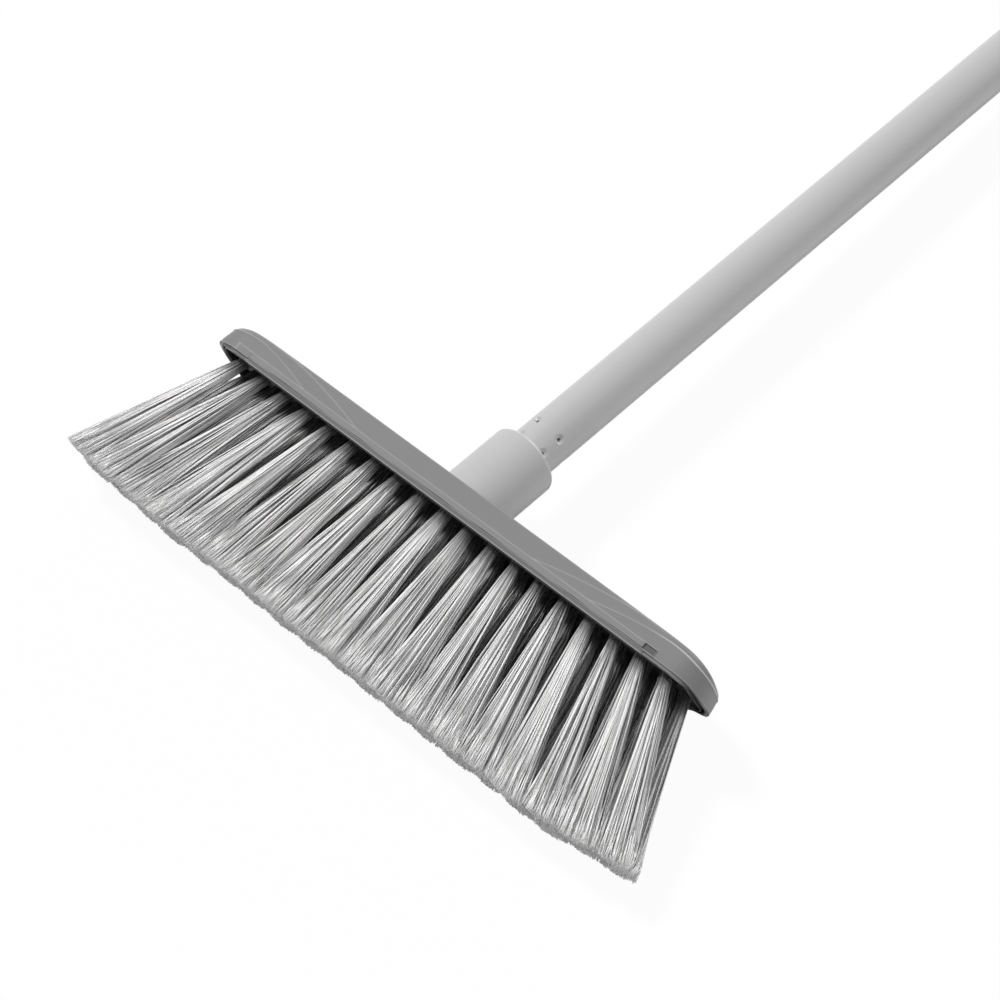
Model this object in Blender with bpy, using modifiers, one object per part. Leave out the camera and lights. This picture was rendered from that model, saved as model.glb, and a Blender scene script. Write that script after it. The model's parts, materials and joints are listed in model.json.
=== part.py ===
"""Indoor broom: a slim head with three rows of flared bristle tufts and a screw-in tubular handle.

Units are metres. The broom lies as it rests on a floor, front face up: X runs along the head,
Y along the handle and Z up. It touches z = 0 with its back bristle tips and the handle's end cap.

Two empties carry the pieces. The head's own frame has x along the head, y to its back and
z from the bristles towards the handle, with z = 0 on the underside of the bristle block.
The handle's own frame has z along the handle's axis, with z = 0 on top of the head's shell.
"""
import math

import bmesh
import bpy
from mathutils import Matrix, Vector

MM = 0.001

# Clearances and shared small sizes
GAP = 0.3 * MM
OVERRUN = 1.0 * MM
MERGE = 0.01 * MM
TURN_STEPS = 40
HOLE_STEPS = 24
CORNER_STEPS = 5
BALL_SEGMENTS = 12
BALL_RINGS = 8
FULL_TURN = 2 * math.pi

# Head shell
SHELL_HALF_DEPTH = 19.0 * MM
SHELL_TOP = 13.3 * MM
SHELL_RIM = 1.5 * MM
SHELL_WALL = 2.0 * MM
SHELL_END_TOP = 7.0 * MM
SHELL_END_CLEARANCE = 3.6 * MM
SHELL_DROP_RUN = 29.0 * MM
SHELL_END_ROUND = 16.0 * MM
SHELL_LEAN = 1.3 * MM
SHELL_EDGE_ROUND = 2.2 * MM
PLAN_POWER = 2.6
DROP_POWER = 2.5
END_STEPS = 9
EDGE_STEPS = 3
SIDE_SHARES = (0.955, 0.88, 0.45, 0.0)
LOW_LEVEL_SHARE = 0.3
HIGH_LEVEL_SHARE = 0.6
HIGH_LEVEL_LEAN_SHARE = 0.45
TOP_SHARES = (0.5, 1.0)

# Snap window in each long wall of the shell, and the bristle block's strip that shows in it
WINDOW_LOW = 2.0 * MM
WINDOW_HIGH = 4.6 * MM
WINDOW_START_INSET = 21.1 * MM
WINDOW_END_INSET = 23.6 * MM
STRIP_SHORTFALL = 5.8 * MM
LEDGE_SHORTFALL = 4.7 * MM
LEDGE_HEIGHT = 1.2 * MM

# Bristle block and its tufts
BLOCK_HEIGHT = 6.0 * MM
BLOCK_END_WALL = 1.6 * MM
BLOCK_SIDE_WALL = 1.4 * MM
BLOCK_CORNER = 9.0 * MM
BLOCK_CORNER_STEPS = 4
SLICE_HEIGHT = 3.5 * MM
COLUMNS = 19
ROWS = 3
STRANDS = 8
COLUMN_PITCH = 12.8 * MM
ROW_MARGIN = 2.7 * MM
TUFT_RADIUS = 2.1 * MM
BRISTLE_LENGTH = 73.4 * MM
END_RISE = 3.7 * MM
END_RISE_RUN = 50.0 * MM
END_RISE_POWER = 1.5
STRAND_RADIUS = 0.45 * MM
STRAND_SIDES = 3
TIP_PITCH = 16.3 * MM
MIDDLE_TIP_PITCH = 15.1 * MM
TIP_ROW_SHARE = 0.72
TIP_ROW_CLEARANCE = 1.0 * MM
TIP_SPREAD_X = 6.9 * MM
END_TUFT_STEP = 7.7 * MM
END_TIP_STEP = 13.7 * MM
END_TIP_SPREAD_X = 6.2 * MM
END_SEAT = 3.6 * MM
GOLDEN_ANGLE = math.pi * (3 - math.sqrt(5))

# Socket collar: the handle leans back from the head
HANDLE_LEAN = math.radians(16)
COLLAR_WALL = 3.0 * MM
COLLAR_HEIGHT = 31.0 * MM
COLLAR_ROUND = 2.0 * MM
NECK_RADIUS = 12.6 * MM
FLANGE_HALF_LENGTH = 24.0 * MM
FLANGE_SIDE_CLEARANCE = 2.6 * MM
FLANGE_THICKNESS = 2.5 * MM
RIB_WIDTH = 4.0 * MM

# Mouth ring in the collar
RING_WALL = 1.4 * MM
RING_HEIGHT = 2.4 * MM

# Thread between the handle's tip and the collar
LEAD = 5.0 * MM
THREAD_STEPS = 24
TIP_CORE_RADIUS = 7.6 * MM
THREAD_CLEARANCE = 0.4 * MM
RIDGE_DEPTH = 1.6 * MM
RIDGE_FOOT = 2.4 * MM
RIDGE_CREST = 1.3 * MM
TIP_LOW = -3.5 * MM
TIP_CHAMFER = 1.0 * MM

# Handle tube, its staked dimples and the tip's plug
TUBE_RADIUS = 11.0 * MM
TUBE_WALL = 0.5 * MM
TUBE_LENGTH = 1150.0 * MM
TUBE_INSERTION = 9.0 * MM
SHOULDER_HEIGHT = 1.5 * MM
PLUG_LENGTH = 30.0 * MM
PLUG_BORE = 6.0 * MM
DIMPLE_COLUMNS = 5
DIMPLE_TURN = math.radians(-45)
DIMPLE_FIRST = 2.2 * MM
DIMPLE_SPACING = 10.0 * MM
DIMPLE_ROWS = 2
DIMPLE_DEPTH = 0.9 * MM
DIMPLE_BALL = 3.2 * MM

# End cap with its hanging hole
CAP_LIP = 1.0 * MM
CAP_LENGTH = 30.0 * MM
CAP_ROUND = 5.0 * MM
CAP_PLUG_LENGTH = 16.0 * MM
HANG_RADIUS = 4.5 * MM
HANG_DROP = 12.0 * MM

# Values worked out from the sizes above
BLOCK_HALF_DEPTH = SHELL_HALF_DEPTH - SHELL_WALL - 2 * GAP
SLICE_HALF_DEPTH = BLOCK_HALF_DEPTH - BLOCK_SIDE_WALL - GAP
LAST_PLACE = (COLUMNS - 1) / 2
LAST_LINE = (ROWS - 1) / 2
ROW_PITCH = (SLICE_HALF_DEPTH - ROW_MARGIN) / LAST_LINE
TIP_ROW_PITCH = TIP_ROW_SHARE * ROW_PITCH
TIP_SPREAD_Y = TIP_ROW_PITCH / 2 - TIP_ROW_CLEARANCE
END_TUFT = LAST_PLACE * COLUMN_PITCH + END_TUFT_STEP
END_TIP = LAST_PLACE * MIDDLE_TIP_PITCH + END_TIP_STEP
POCKET_HALF_LENGTH = COLUMNS * COLUMN_PITCH / 2 + GAP
END_POCKET_HALF_LENGTH = END_TUFT + END_SEAT + GAP
BLOCK_HALF_LENGTH = END_POCKET_HALF_LENGTH + BLOCK_END_WALL
SHELL_HALF_LENGTH = BLOCK_HALF_LENGTH + SHELL_END_CLEARANCE + SHELL_WALL
SHELL_DROP_START = SHELL_HALF_LENGTH - SHELL_DROP_RUN
WINDOW_START = WINDOW_START_INSET - SHELL_HALF_LENGTH
WINDOW_END = SHELL_HALF_LENGTH - WINDOW_END_INSET
STRIP_END = WINDOW_END - STRIP_SHORTFALL
LEDGE_END = WINDOW_END - LEDGE_SHORTFALL
TRIM_REACH = 2 * SHELL_HALF_DEPTH
FLANGE_HALF_DEPTH = SHELL_HALF_DEPTH - SHELL_WALL - FLANGE_SIDE_CLEARANCE
FLANGE_TOP = SHELL_TOP - SHELL_WALL - GAP
FLANGE_LOW = FLANGE_TOP - FLANGE_THICKNESS
TUBE_START = COLLAR_HEIGHT - TUBE_INSERTION
TUBE_END = TUBE_START + TUBE_LENGTH
TUBE_BORE = TUBE_RADIUS - TUBE_WALL
PLUG_RADIUS = TUBE_BORE - GAP
SHOULDER_LOW = TUBE_START - GAP - SHOULDER_HEIGHT
COLLAR_BORE = TUBE_RADIUS + THREAD_CLEARANCE
RING_BORE = TUBE_RADIUS + GAP
RING_OUTER = RING_BORE + RING_WALL
COLLAR_RADIUS = RING_OUTER + COLLAR_WALL
THREAD_TOP = SHOULDER_LOW - GAP
TIP_CREST_RADIUS = TIP_CORE_RADIUS + RIDGE_DEPTH
CAP_RADIUS = TUBE_RADIUS + CAP_LIP
CAP_FOOT = TUBE_END + GAP
CAP_END = CAP_FOOT + CAP_LENGTH


def clear_scene():
    for obj in list(bpy.data.objects):
        bpy.data.objects.remove(obj, do_unlink=True)


def new_collection(name):
    collection = bpy.data.collections.new(name)
    bpy.context.scene.collection.children.link(collection)
    return collection


def material(name, colour, roughness, metallic=0.0):
    made = bpy.data.materials.new(name)
    made.use_nodes = True
    shader = made.node_tree.nodes["Principled BSDF"]
    shader.inputs["Base Color"].default_value = (*colour, 1)
    shader.inputs["Roughness"].default_value = roughness
    shader.inputs["Metallic"].default_value = metallic
    return made


clear_scene()
BROOM = new_collection("indoor_broom")
CUTTERS = new_collection("broom_cutters")
SHELL_PLASTIC = material("shell_plastic", (0.25, 0.25, 0.255), 0.45)
COLLAR_PLASTIC = material("collar_plastic", (0.45, 0.45, 0.45), 0.42)
BLOCK_PLASTIC = material("block_plastic", (0.24, 0.24, 0.245), 0.5)
TIP_PLASTIC = material("tip_plastic", (0.3, 0.3, 0.3), 0.5)
RING_PLASTIC = material("ring_plastic", (0.6, 0.6, 0.6), 0.4)
CAP_PLASTIC = material("cap_plastic", (0.25, 0.25, 0.255), 0.45)
TUBE_PAINT = material("tube_paint", (0.46, 0.46, 0.46), 0.35, 0.3)
BRISTLE_FIBRE = material("bristle_fibre", (0.6, 0.6, 0.6), 0.5)


def empty(name, parent=None, matrix=None):
    frame = bpy.data.objects.new(name, None)
    BROOM.objects.link(frame)
    frame.parent = parent
    frame.matrix_local = matrix or Matrix()
    return frame


def add_mesh(name, points, edges, faces, parent, look=None, collection=BROOM):
    mesh = bpy.data.meshes.new(name)
    mesh.from_pydata(points, edges, faces)
    mesh.validate()
    return add_object(name, mesh, parent, look, collection)


def add_object(name, mesh, parent, look=None, collection=BROOM):
    obj = bpy.data.objects.new(name, mesh)
    collection.objects.link(obj)
    obj.parent = parent
    if look:
        mesh.materials.append(look)
    if collection is CUTTERS:
        obj.display_type = "WIRE"
        obj.hide_render = True
    return obj


def turned(name, profile, parent, look=None, collection=BROOM, steps=TURN_STEPS):
    """A loop of (radius, height) points, down the outer side, turned about the frame's z.

    The loop's runs along the axis itself are left out."""
    points = [(radius, 0, height) for radius, height in profile]
    edges = []
    for i in range(len(points)):
        j = (i + 1) % len(points)
        if profile[i][0] > 0 or profile[j][0] > 0:
            edges.append((i, j))
    obj = add_mesh(name, points, edges, [], parent, look, collection)
    screw = obj.modifiers.new("turn", "SCREW")
    screw.angle = FULL_TURN
    screw.steps = steps
    screw.render_steps = steps
    screw.use_merge_vertices = True
    screw.merge_threshold = MERGE
    screw.use_smooth_shade = True
    return obj


def boxes(name, spans, parent, look=None, collection=BROOM):
    """One mesh of boxes, each given by its low and high corner."""
    bm = bmesh.new()
    for low, high in spans:
        size = Vector(high) - Vector(low)
        middle = (Vector(high) + Vector(low)) / 2
        place = Matrix.Translation(middle) @ Matrix.Diagonal((*size, 1))
        bmesh.ops.create_cube(bm, size=1, matrix=place)
    mesh = bpy.data.meshes.new(name)
    bm.to_mesh(mesh)
    bm.free()
    return add_object(name, mesh, parent, look, collection)


def round_upright_edges(obj, radius, steps):
    """Rounds the four upright edges of a box's mesh."""
    bm = bmesh.new()
    bm.from_mesh(obj.data)
    upright = [edge for edge in bm.edges if edge.verts[0].co.xy == edge.verts[1].co.xy]
    bmesh.ops.bevel(bm, geom=upright, offset=radius, segments=steps, profile=0.5, affect="EDGES")
    bm.to_mesh(obj.data)
    bm.free()


def balls(name, centres, radius, parent):
    bm = bmesh.new()
    for centre in centres:
        bmesh.ops.create_uvsphere(
            bm,
            u_segments=BALL_SEGMENTS,
            v_segments=BALL_RINGS,
            radius=radius,
            matrix=Matrix.Translation(centre),
        )
    mesh = bpy.data.meshes.new(name)
    bm.to_mesh(mesh)
    bm.free()
    return add_object(name, mesh, parent, None, CUTTERS)


def combine(obj, other, operation):
    boolean = obj.modifiers.new(other.name, "BOOLEAN")
    boolean.operation = operation
    boolean.solver = "EXACT"
    boolean.object = other


def rounded_corner(centre_radius, centre_height, radius):
    """Points of a quarter arc in the (radius, height) plane, from its top out and down."""
    points = []
    for i in range(CORNER_STEPS + 1):
        turn = math.pi / 2 * (1 - i / CORNER_STEPS)
        points.append((centre_radius + radius * math.cos(turn), centre_height + radius * math.sin(turn)))
    return points


def floor_slope():
    """Angle between the handle's axis and the floor line under the bristle tips and the cap."""
    half = LAST_LINE * TIP_ROW_PITCH + TIP_SPREAD_Y + STRAND_RADIUS
    drop = BRISTLE_LENGTH + SHELL_TOP
    tip_along = half * math.sin(HANDLE_LEAN) - drop * math.cos(HANDLE_LEAN)
    tip_depth = half * math.cos(HANDLE_LEAN) + drop * math.sin(HANDLE_LEAN)
    return math.atan2(tip_depth - CAP_RADIUS, CAP_FOOT - tip_along)


def shell_top_height(x):
    """Height of the shell's top at x: level along the middle, falling in a curve at the ends."""
    run = max(0.0, abs(x) - SHELL_DROP_START) / (SHELL_HALF_LENGTH - SHELL_DROP_START)
    fall = (1 - min(run, 1.0) ** DROP_POWER) ** (1 / DROP_POWER)
    return SHELL_END_TOP + (SHELL_TOP - SHELL_END_TOP) * fall


def shell_outline():
    """Plan outline of the shell: straight long sides and superelliptic ends, anticlockwise."""
    straight = SHELL_HALF_LENGTH - SHELL_END_ROUND
    quarter = []
    for i in range(END_STEPS + 1):
        turn = math.pi / 2 * i / END_STEPS
        x = straight + SHELL_END_ROUND * math.cos(turn) ** (2 / PLAN_POWER)
        y = SHELL_HALF_DEPTH * math.sin(turn) ** (2 / PLAN_POWER)
        quarter.append((x, y))
    quarter += [(straight * share, SHELL_HALF_DEPTH) for share in SIDE_SHARES]
    half = quarter + [(-x, y) for x, y in reversed(quarter[:-1])]
    return half + [(x, -y) for x, y in reversed(half[1:-1])]


def shell_levels():
    """Inset from the plan outline and height share of each level of the shell's outer skin."""
    levels = [(0.0, 0.0), (0.0, LOW_LEVEL_SHARE)]
    levels.append((HIGH_LEVEL_LEAN_SHARE * SHELL_LEAN, HIGH_LEVEL_SHARE))
    edge_share = 1 - SHELL_EDGE_ROUND / (SHELL_TOP - SHELL_RIM)
    for i in range(EDGE_STEPS + 1):
        turn = math.pi / 2 * i / EDGE_STEPS
        inset = SHELL_LEAN + SHELL_EDGE_ROUND * (1 - math.cos(turn))
        levels.append((inset, edge_share + (1 - edge_share) * math.sin(turn)))
    return levels


def shell_points(outline):
    """Rings of the shell's outer skin: up its side, then over the top to the spine."""
    points = []
    for inset, share in shell_levels():
        for x, y in outline:
            px = x * (1 - inset / SHELL_HALF_LENGTH)
            py = y * (1 - inset / SHELL_HALF_DEPTH)
            points.append((px, py, SHELL_RIM + share * (shell_top_height(px) - SHELL_RIM)))
    edge_points = points[-len(outline):]
    spine_share = (SHELL_HALF_LENGTH - SHELL_HALF_DEPTH) / SHELL_HALF_LENGTH
    for top_share in TOP_SHARES:
        for (x, _), (edge_x, edge_y, _) in zip(outline, edge_points):
            px = edge_x + top_share * (x * spine_share - edge_x)
            points.append((px, edge_y * (1 - top_share), shell_top_height(px)))
    return points


def head_shell(parent):
    """The hollow cover over the bristle block, open underneath, with its two snap windows."""
    outline = shell_outline()
    count = len(outline)
    points = shell_points(outline)
    faces = []
    for low in range(0, len(points) - count, count):
        high = low + count
        for i in range(count):
            j = (i + 1) % count
            faces.append((low + i, low + j, high + j, high + i))
    shell = add_mesh("head_shell", points, [], faces, parent, SHELL_PLASTIC)
    bm = bmesh.new()
    bm.from_mesh(shell.data)
    bmesh.ops.remove_doubles(bm, verts=bm.verts, dist=MERGE)
    bmesh.ops.recalc_face_normals(bm, faces=bm.faces)
    bm.to_mesh(shell.data)
    bm.free()
    wall = shell.modifiers.new("wall", "SOLIDIFY")
    wall.thickness = SHELL_WALL
    wall.offset = -1
    combine(shell, window_cutters(parent), "DIFFERENCE")
    return shell


def window_cutters(parent):
    """The windows lie half a turn apart, so the head looks the same from both sides."""
    outer = SHELL_HALF_DEPTH + OVERRUN
    inner = SHELL_HALF_DEPTH - SHELL_WALL - OVERRUN
    front = ((WINDOW_START, -outer, WINDOW_LOW), (WINDOW_END, -inner, WINDOW_HIGH))
    return boxes("window_cutter", [front, half_turn(front)], parent, None, CUTTERS)


def half_turn(span):
    """The same box turned half round the head's upright middle line."""
    low, high = span
    return (-high[0], -high[1], low[2]), (-low[0], -low[1], high[2])


def bristle_block(parent):
    """The insert under the shell: a tray for the tufts, with snap strips, ledges and ribs."""
    low = (-BLOCK_HALF_LENGTH, -BLOCK_HALF_DEPTH, 0)
    high = (BLOCK_HALF_LENGTH, BLOCK_HALF_DEPTH, BLOCK_HEIGHT)
    block = boxes("bristle_block", [(low, high)], parent, BLOCK_PLASTIC)
    round_upright_edges(block, BLOCK_CORNER, BLOCK_CORNER_STEPS)
    inside = BLOCK_HALF_DEPTH - OVERRUN
    strip_face = SHELL_HALF_DEPTH - GAP
    start = WINDOW_START + GAP
    strip = ((start, -strip_face, WINDOW_LOW + GAP), (STRIP_END, -inside, WINDOW_HIGH - GAP))
    ledge = ((start, -strip_face, 0), (LEDGE_END, -inside, LEDGE_HEIGHT))
    combine(block, boxes("strip_body", [strip, half_turn(strip)], parent, None, CUTTERS), "UNION")
    combine(block, boxes("ledge_body", [ledge, half_turn(ledge)], parent, None, CUTTERS), "UNION")
    rib_top = FLANGE_LOW - GAP
    rib_start = FLANGE_HALF_LENGTH - RIB_WIDTH
    rib_end = FLANGE_HALF_LENGTH
    rib_low = BLOCK_HEIGHT - OVERRUN
    rib = ((rib_start, -FLANGE_HALF_DEPTH, rib_low), (rib_end, FLANGE_HALF_DEPTH, rib_top))
    combine(block, boxes("rib_body", [rib, half_turn(rib)], parent, None, CUTTERS), "UNION")
    cut_pocket(block, parent, "pocket_cutter", POCKET_HALF_LENGTH, SLICE_HALF_DEPTH + GAP)
    cut_pocket(block, parent, "end_pocket_cutter", END_POCKET_HALF_LENGTH, END_SEAT + GAP)
    return block


def cut_pocket(block, parent, name, half_length, half_depth):
    span = ((-half_length, -half_depth, -OVERRUN), (half_length, half_depth, SLICE_HEIGHT + GAP))
    combine(block, boxes(name, [span], parent, None, CUTTERS), "DIFFERENCE")


def tuft_spread():
    """Places of a tuft's strands in a unit disc, on a sunflower spiral."""
    places = []
    for k in range(STRANDS):
        reach = math.sqrt((k + 0.5) / STRANDS)
        turn = k * GOLDEN_ANGLE
        places.append((reach * math.cos(turn), reach * math.sin(turn)))
    return places


def tip_level(x):
    """Height of the tips at x: level along the middle, rising in a curve towards both ends."""
    run = max(0.0, abs(x) - (END_TIP - END_RISE_RUN)) / END_RISE_RUN
    return END_RISE * run**END_RISE_POWER - BRISTLE_LENGTH


def strand(bm, root, tip):
    """One strand: a straight prism from inside the slice down to the flat cut at the tips."""
    rings = []
    for end in (root, tip):
        ring = []
        for side in range(STRAND_SIDES):
            turn = FULL_TURN * side / STRAND_SIDES
            offset = Vector((math.cos(turn), math.sin(turn), 0)) * STRAND_RADIUS
            ring.append(bm.verts.new(end + offset))
        rings.append(ring)
    top, bottom = rings
    bm.faces.new(top)
    bm.faces.new(list(reversed(bottom)))
    for i in range(STRAND_SIDES):
        j = (i + 1) % STRAND_SIDES
        bm.faces.new((bottom[i], bottom[j], top[j], top[i]))


def tuft_lines(place):
    """Root, tip and tip spread of each tuft of a column, flared along the head.

    The middle row has one tuft more at each end, so an end column carries four."""
    lines = []
    for row in range(ROWS):
        line = row - LAST_LINE
        pitch = TIP_PITCH if line else MIDDLE_TIP_PITCH
        root = Vector((place * COLUMN_PITCH, line * ROW_PITCH, 0))
        tip = Vector((place * pitch, line * TIP_ROW_PITCH, -BRISTLE_LENGTH))
        lines.append((root, tip, TIP_SPREAD_X))
    if is_end(place):
        side = math.copysign(1, place)
        root = Vector((side * END_TUFT, 0, 0))
        lines.append((root, Vector((side * END_TIP, 0, -BRISTLE_LENGTH)), END_TIP_SPREAD_X))
    return lines


def is_end(place):
    return abs(place) == LAST_PLACE


def column_strands(name, place, parent):
    root_depth = SLICE_HEIGHT / 2
    bm = bmesh.new()
    for root, tip, spread in tuft_lines(place):
        run = (tip - root) / BRISTLE_LENGTH
        for px, py in tuft_spread():
            low = tip + Vector((px * spread, py * TIP_SPREAD_Y, 0))
            low.z = tip_level(low.x)
            high = root + Vector((px, py, 0)) * TUFT_RADIUS - run * root_depth
            strand(bm, high, low)
    mesh = bpy.data.meshes.new(name)
    bm.to_mesh(mesh)
    bm.free()
    return add_object(name, mesh, parent, None, CUTTERS)


def tuft_column(number, parent):
    """One slice of the block's filling with its tufts; an end slice has a tongue for the fourth."""
    place = number - LAST_PLACE
    x = place * COLUMN_PITCH
    half_width = (COLUMN_PITCH - GAP) / 2
    label = f"{number + 1:02d}"
    span = ((x - half_width, -SLICE_HALF_DEPTH, 0), (x + half_width, SLICE_HALF_DEPTH, SLICE_HEIGHT))
    column = boxes(f"tuft_column_{label}", [span], parent, BRISTLE_FIBRE)
    if is_end(place):
        ends = sorted((x, math.copysign(END_TUFT + END_SEAT, place)))
        tongue = ((ends[0], -END_SEAT, 0), (ends[1], END_SEAT, SLICE_HEIGHT))
        combine(column, boxes(f"tongue_{label}", [tongue], parent, None, CUTTERS), "UNION")
    combine(column, column_strands(f"strands_{label}", place, parent), "UNION")
    return column


def thread_ridge(name, core, crest, foot, top, low, high, parent):
    """A right-handed helical ridge: its trapezoid section climbs one lead a turn."""
    start = low / LEAD * FULL_TURN
    steps = math.ceil((high - low) / LEAD * THREAD_STEPS)
    bm = bmesh.new()
    rings = []
    for i in range(steps + 1):
        turn = start + FULL_TURN * i / THREAD_STEPS
        height = turn / FULL_TURN * LEAD
        section = ((core, -foot / 2), (crest, -top / 2), (crest, top / 2), (core, foot / 2))
        ring = [
            bm.verts.new((radius * math.cos(turn), radius * math.sin(turn), height + rise))
            for radius, rise in section
        ]
        rings.append(ring)
    for first, second in zip(rings, rings[1:]):
        for i in range(len(first)):
            j = (i + 1) % len(first)
            bm.faces.new((first[i], second[i], second[j], first[j]))
    bm.faces.new(rings[0])
    bm.faces.new(list(reversed(rings[-1])))
    bmesh.ops.recalc_face_normals(bm, faces=bm.faces)
    mesh = bpy.data.meshes.new(name)
    bm.to_mesh(mesh)
    bm.free()
    return add_object(name, mesh, parent, None, CUTTERS)


def socket_collar(head, handle):
    """Barrel on the shell, neck through it, flange below it, and the threaded socket."""
    flat = COLLAR_RADIUS - COLLAR_ROUND
    lowest = -COLLAR_HEIGHT
    barrel = [(0, COLLAR_HEIGHT)]
    barrel += rounded_corner(flat, COLLAR_HEIGHT - COLLAR_ROUND, COLLAR_ROUND)
    barrel += [(COLLAR_RADIUS, lowest), (0, lowest)]
    collar = turned("socket_collar", barrel, handle, COLLAR_PLASTIC)
    wide = TRIM_REACH
    below = ((-wide, -wide, -wide), (wide, wide, SHELL_TOP + GAP))
    combine(collar, boxes("seat_cutter", [below], head, None, CUTTERS), "DIFFERENCE")
    neck_profile = cylinder_profile(NECK_RADIUS, lowest, NECK_RADIUS)
    neck = turned("neck_body", neck_profile, handle, None, CUTTERS)
    above = ((-wide, -wide, FLANGE_LOW), (wide, wide, wide))
    combine(neck, boxes("neck_trim", [above], head, None, CUTTERS), "INTERSECT")
    combine(collar, neck, "UNION")
    plate = (
        (-FLANGE_HALF_LENGTH, -FLANGE_HALF_DEPTH, FLANGE_LOW),
        (FLANGE_HALF_LENGTH, FLANGE_HALF_DEPTH, FLANGE_TOP),
    )
    combine(collar, boxes("flange_body", [plate], head, None, CUTTERS), "UNION")
    combine(collar, turned("bore_cutter", bore_profile(), handle, None, CUTTERS), "DIFFERENCE")
    groove = thread_ridge(
        "groove_cutter",
        TIP_CORE_RADIUS - THREAD_CLEARANCE,
        TIP_CREST_RADIUS + THREAD_CLEARANCE,
        RIDGE_FOOT + 2 * THREAD_CLEARANCE,
        RIDGE_CREST + 2 * THREAD_CLEARANCE,
        TIP_LOW - 2 * LEAD,
        SHOULDER_LOW + LEAD,
        handle,
    )
    combine(collar, groove, "DIFFERENCE")
    return collar


def bore_profile():
    """The socket's bore: seat of the mouth ring, room for the tube, then the thread's core."""
    ring_bore = RING_OUTER + GAP
    ring_seat = COLLAR_HEIGHT - RING_HEIGHT - GAP
    core = TIP_CORE_RADIUS + THREAD_CLEARANCE
    return [
        (0, COLLAR_HEIGHT + OVERRUN),
        (ring_bore, COLLAR_HEIGHT + OVERRUN),
        (ring_bore, ring_seat),
        (COLLAR_BORE, ring_seat),
        (COLLAR_BORE, THREAD_TOP),
        (core, THREAD_TOP),
        (core, -COLLAR_HEIGHT),
        (0, -COLLAR_HEIGHT),
    ]


def cylinder_profile(radius, low, high):
    return [(0, high), (radius, high), (radius, low), (0, low)]


def cut_shell_for_neck(shell, handle):
    profile = cylinder_profile(NECK_RADIUS + GAP, -COLLAR_HEIGHT, COLLAR_HEIGHT)
    combine(shell, turned("neck_cutter", profile, handle, None, CUTTERS), "DIFFERENCE")


def mouth_ring(handle):
    """Thin bush in the collar's mouth that closes the gap round the tube."""
    low = COLLAR_HEIGHT - RING_HEIGHT
    profile = [
        (RING_BORE, COLLAR_HEIGHT),
        (RING_OUTER, COLLAR_HEIGHT),
        (RING_OUTER, low),
        (RING_BORE, low),
    ]
    return turned("mouth_ring", profile, handle, RING_PLASTIC)


def dimple_centres(ball_height):
    centres = []
    for row in range(DIMPLE_ROWS):
        height = COLLAR_HEIGHT + DIMPLE_FIRST + row * DIMPLE_SPACING
        for column in range(DIMPLE_COLUMNS):
            turn = DIMPLE_TURN + FULL_TURN * column / DIMPLE_COLUMNS
            centres.append((ball_height * math.cos(turn), ball_height * math.sin(turn), height))
    return centres


def handle_tube(handle):
    """Thin steel tube whose wall is staked inwards over the tip's plug."""
    profile = [
        (TUBE_BORE, TUBE_END),
        (TUBE_RADIUS, TUBE_END),
        (TUBE_RADIUS, TUBE_START),
        (TUBE_BORE, TUBE_START),
    ]
    tube = turned("handle_tube", profile, handle, TUBE_PAINT)
    centres = dimple_centres(TUBE_RADIUS - DIMPLE_DEPTH + DIMPLE_BALL)
    bumps = balls("dimple_bumps", centres, DIMPLE_BALL + TUBE_WALL, handle)
    inside = cylinder_profile(TUBE_RADIUS - TUBE_WALL / 2, TUBE_START, TUBE_END)
    combine(bumps, turned("bump_trim", inside, handle, None, CUTTERS), "INTERSECT")
    combine(tube, bumps, "UNION")
    combine(tube, balls("dimple_cutter", centres, DIMPLE_BALL, handle), "DIFFERENCE")
    return tube


def tip_profile():
    """Plug with staking grooves, shoulder and core of the tip, and the blind bore of the plug."""
    shoulder_top = SHOULDER_LOW + SHOULDER_HEIGHT
    plug_top = TUBE_START + PLUG_LENGTH
    groove_radius = TUBE_RADIUS - DIMPLE_DEPTH - TUBE_WALL - GAP
    groove_half = DIMPLE_BALL - GAP
    profile = [(PLUG_BORE, plug_top), (PLUG_RADIUS, plug_top)]
    for row in reversed(range(DIMPLE_ROWS)):
        height = COLLAR_HEIGHT + DIMPLE_FIRST + row * DIMPLE_SPACING
        profile += [
            (PLUG_RADIUS, height + groove_half),
            (groove_radius, height + groove_half),
            (groove_radius, height - groove_half),
            (PLUG_RADIUS, height - groove_half),
        ]
    profile += [
        (PLUG_RADIUS, shoulder_top),
        (TUBE_RADIUS, shoulder_top),
        (TUBE_RADIUS, SHOULDER_LOW),
        (TIP_CORE_RADIUS, SHOULDER_LOW),
        (TIP_CORE_RADIUS, TIP_LOW + TIP_CHAMFER),
        (TIP_CORE_RADIUS - TIP_CHAMFER, TIP_LOW),
        (0, TIP_LOW),
        (0, shoulder_top),
        (PLUG_BORE, shoulder_top),
    ]
    return profile


def threaded_tip(handle):
    """Moulded tip: its plug sits in the tube and its thread in the collar's socket."""
    tip = turned("threaded_tip", tip_profile(), handle, TIP_PLASTIC)
    ridge = thread_ridge(
        "thread_body",
        TIP_CORE_RADIUS - THREAD_CLEARANCE,
        TIP_CREST_RADIUS,
        RIDGE_FOOT,
        RIDGE_CREST,
        TIP_LOW + TIP_CHAMFER + RIDGE_FOOT / 2,
        SHOULDER_LOW - RIDGE_FOOT,
        handle,
    )
    combine(tip, ridge, "UNION")
    return tip


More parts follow.
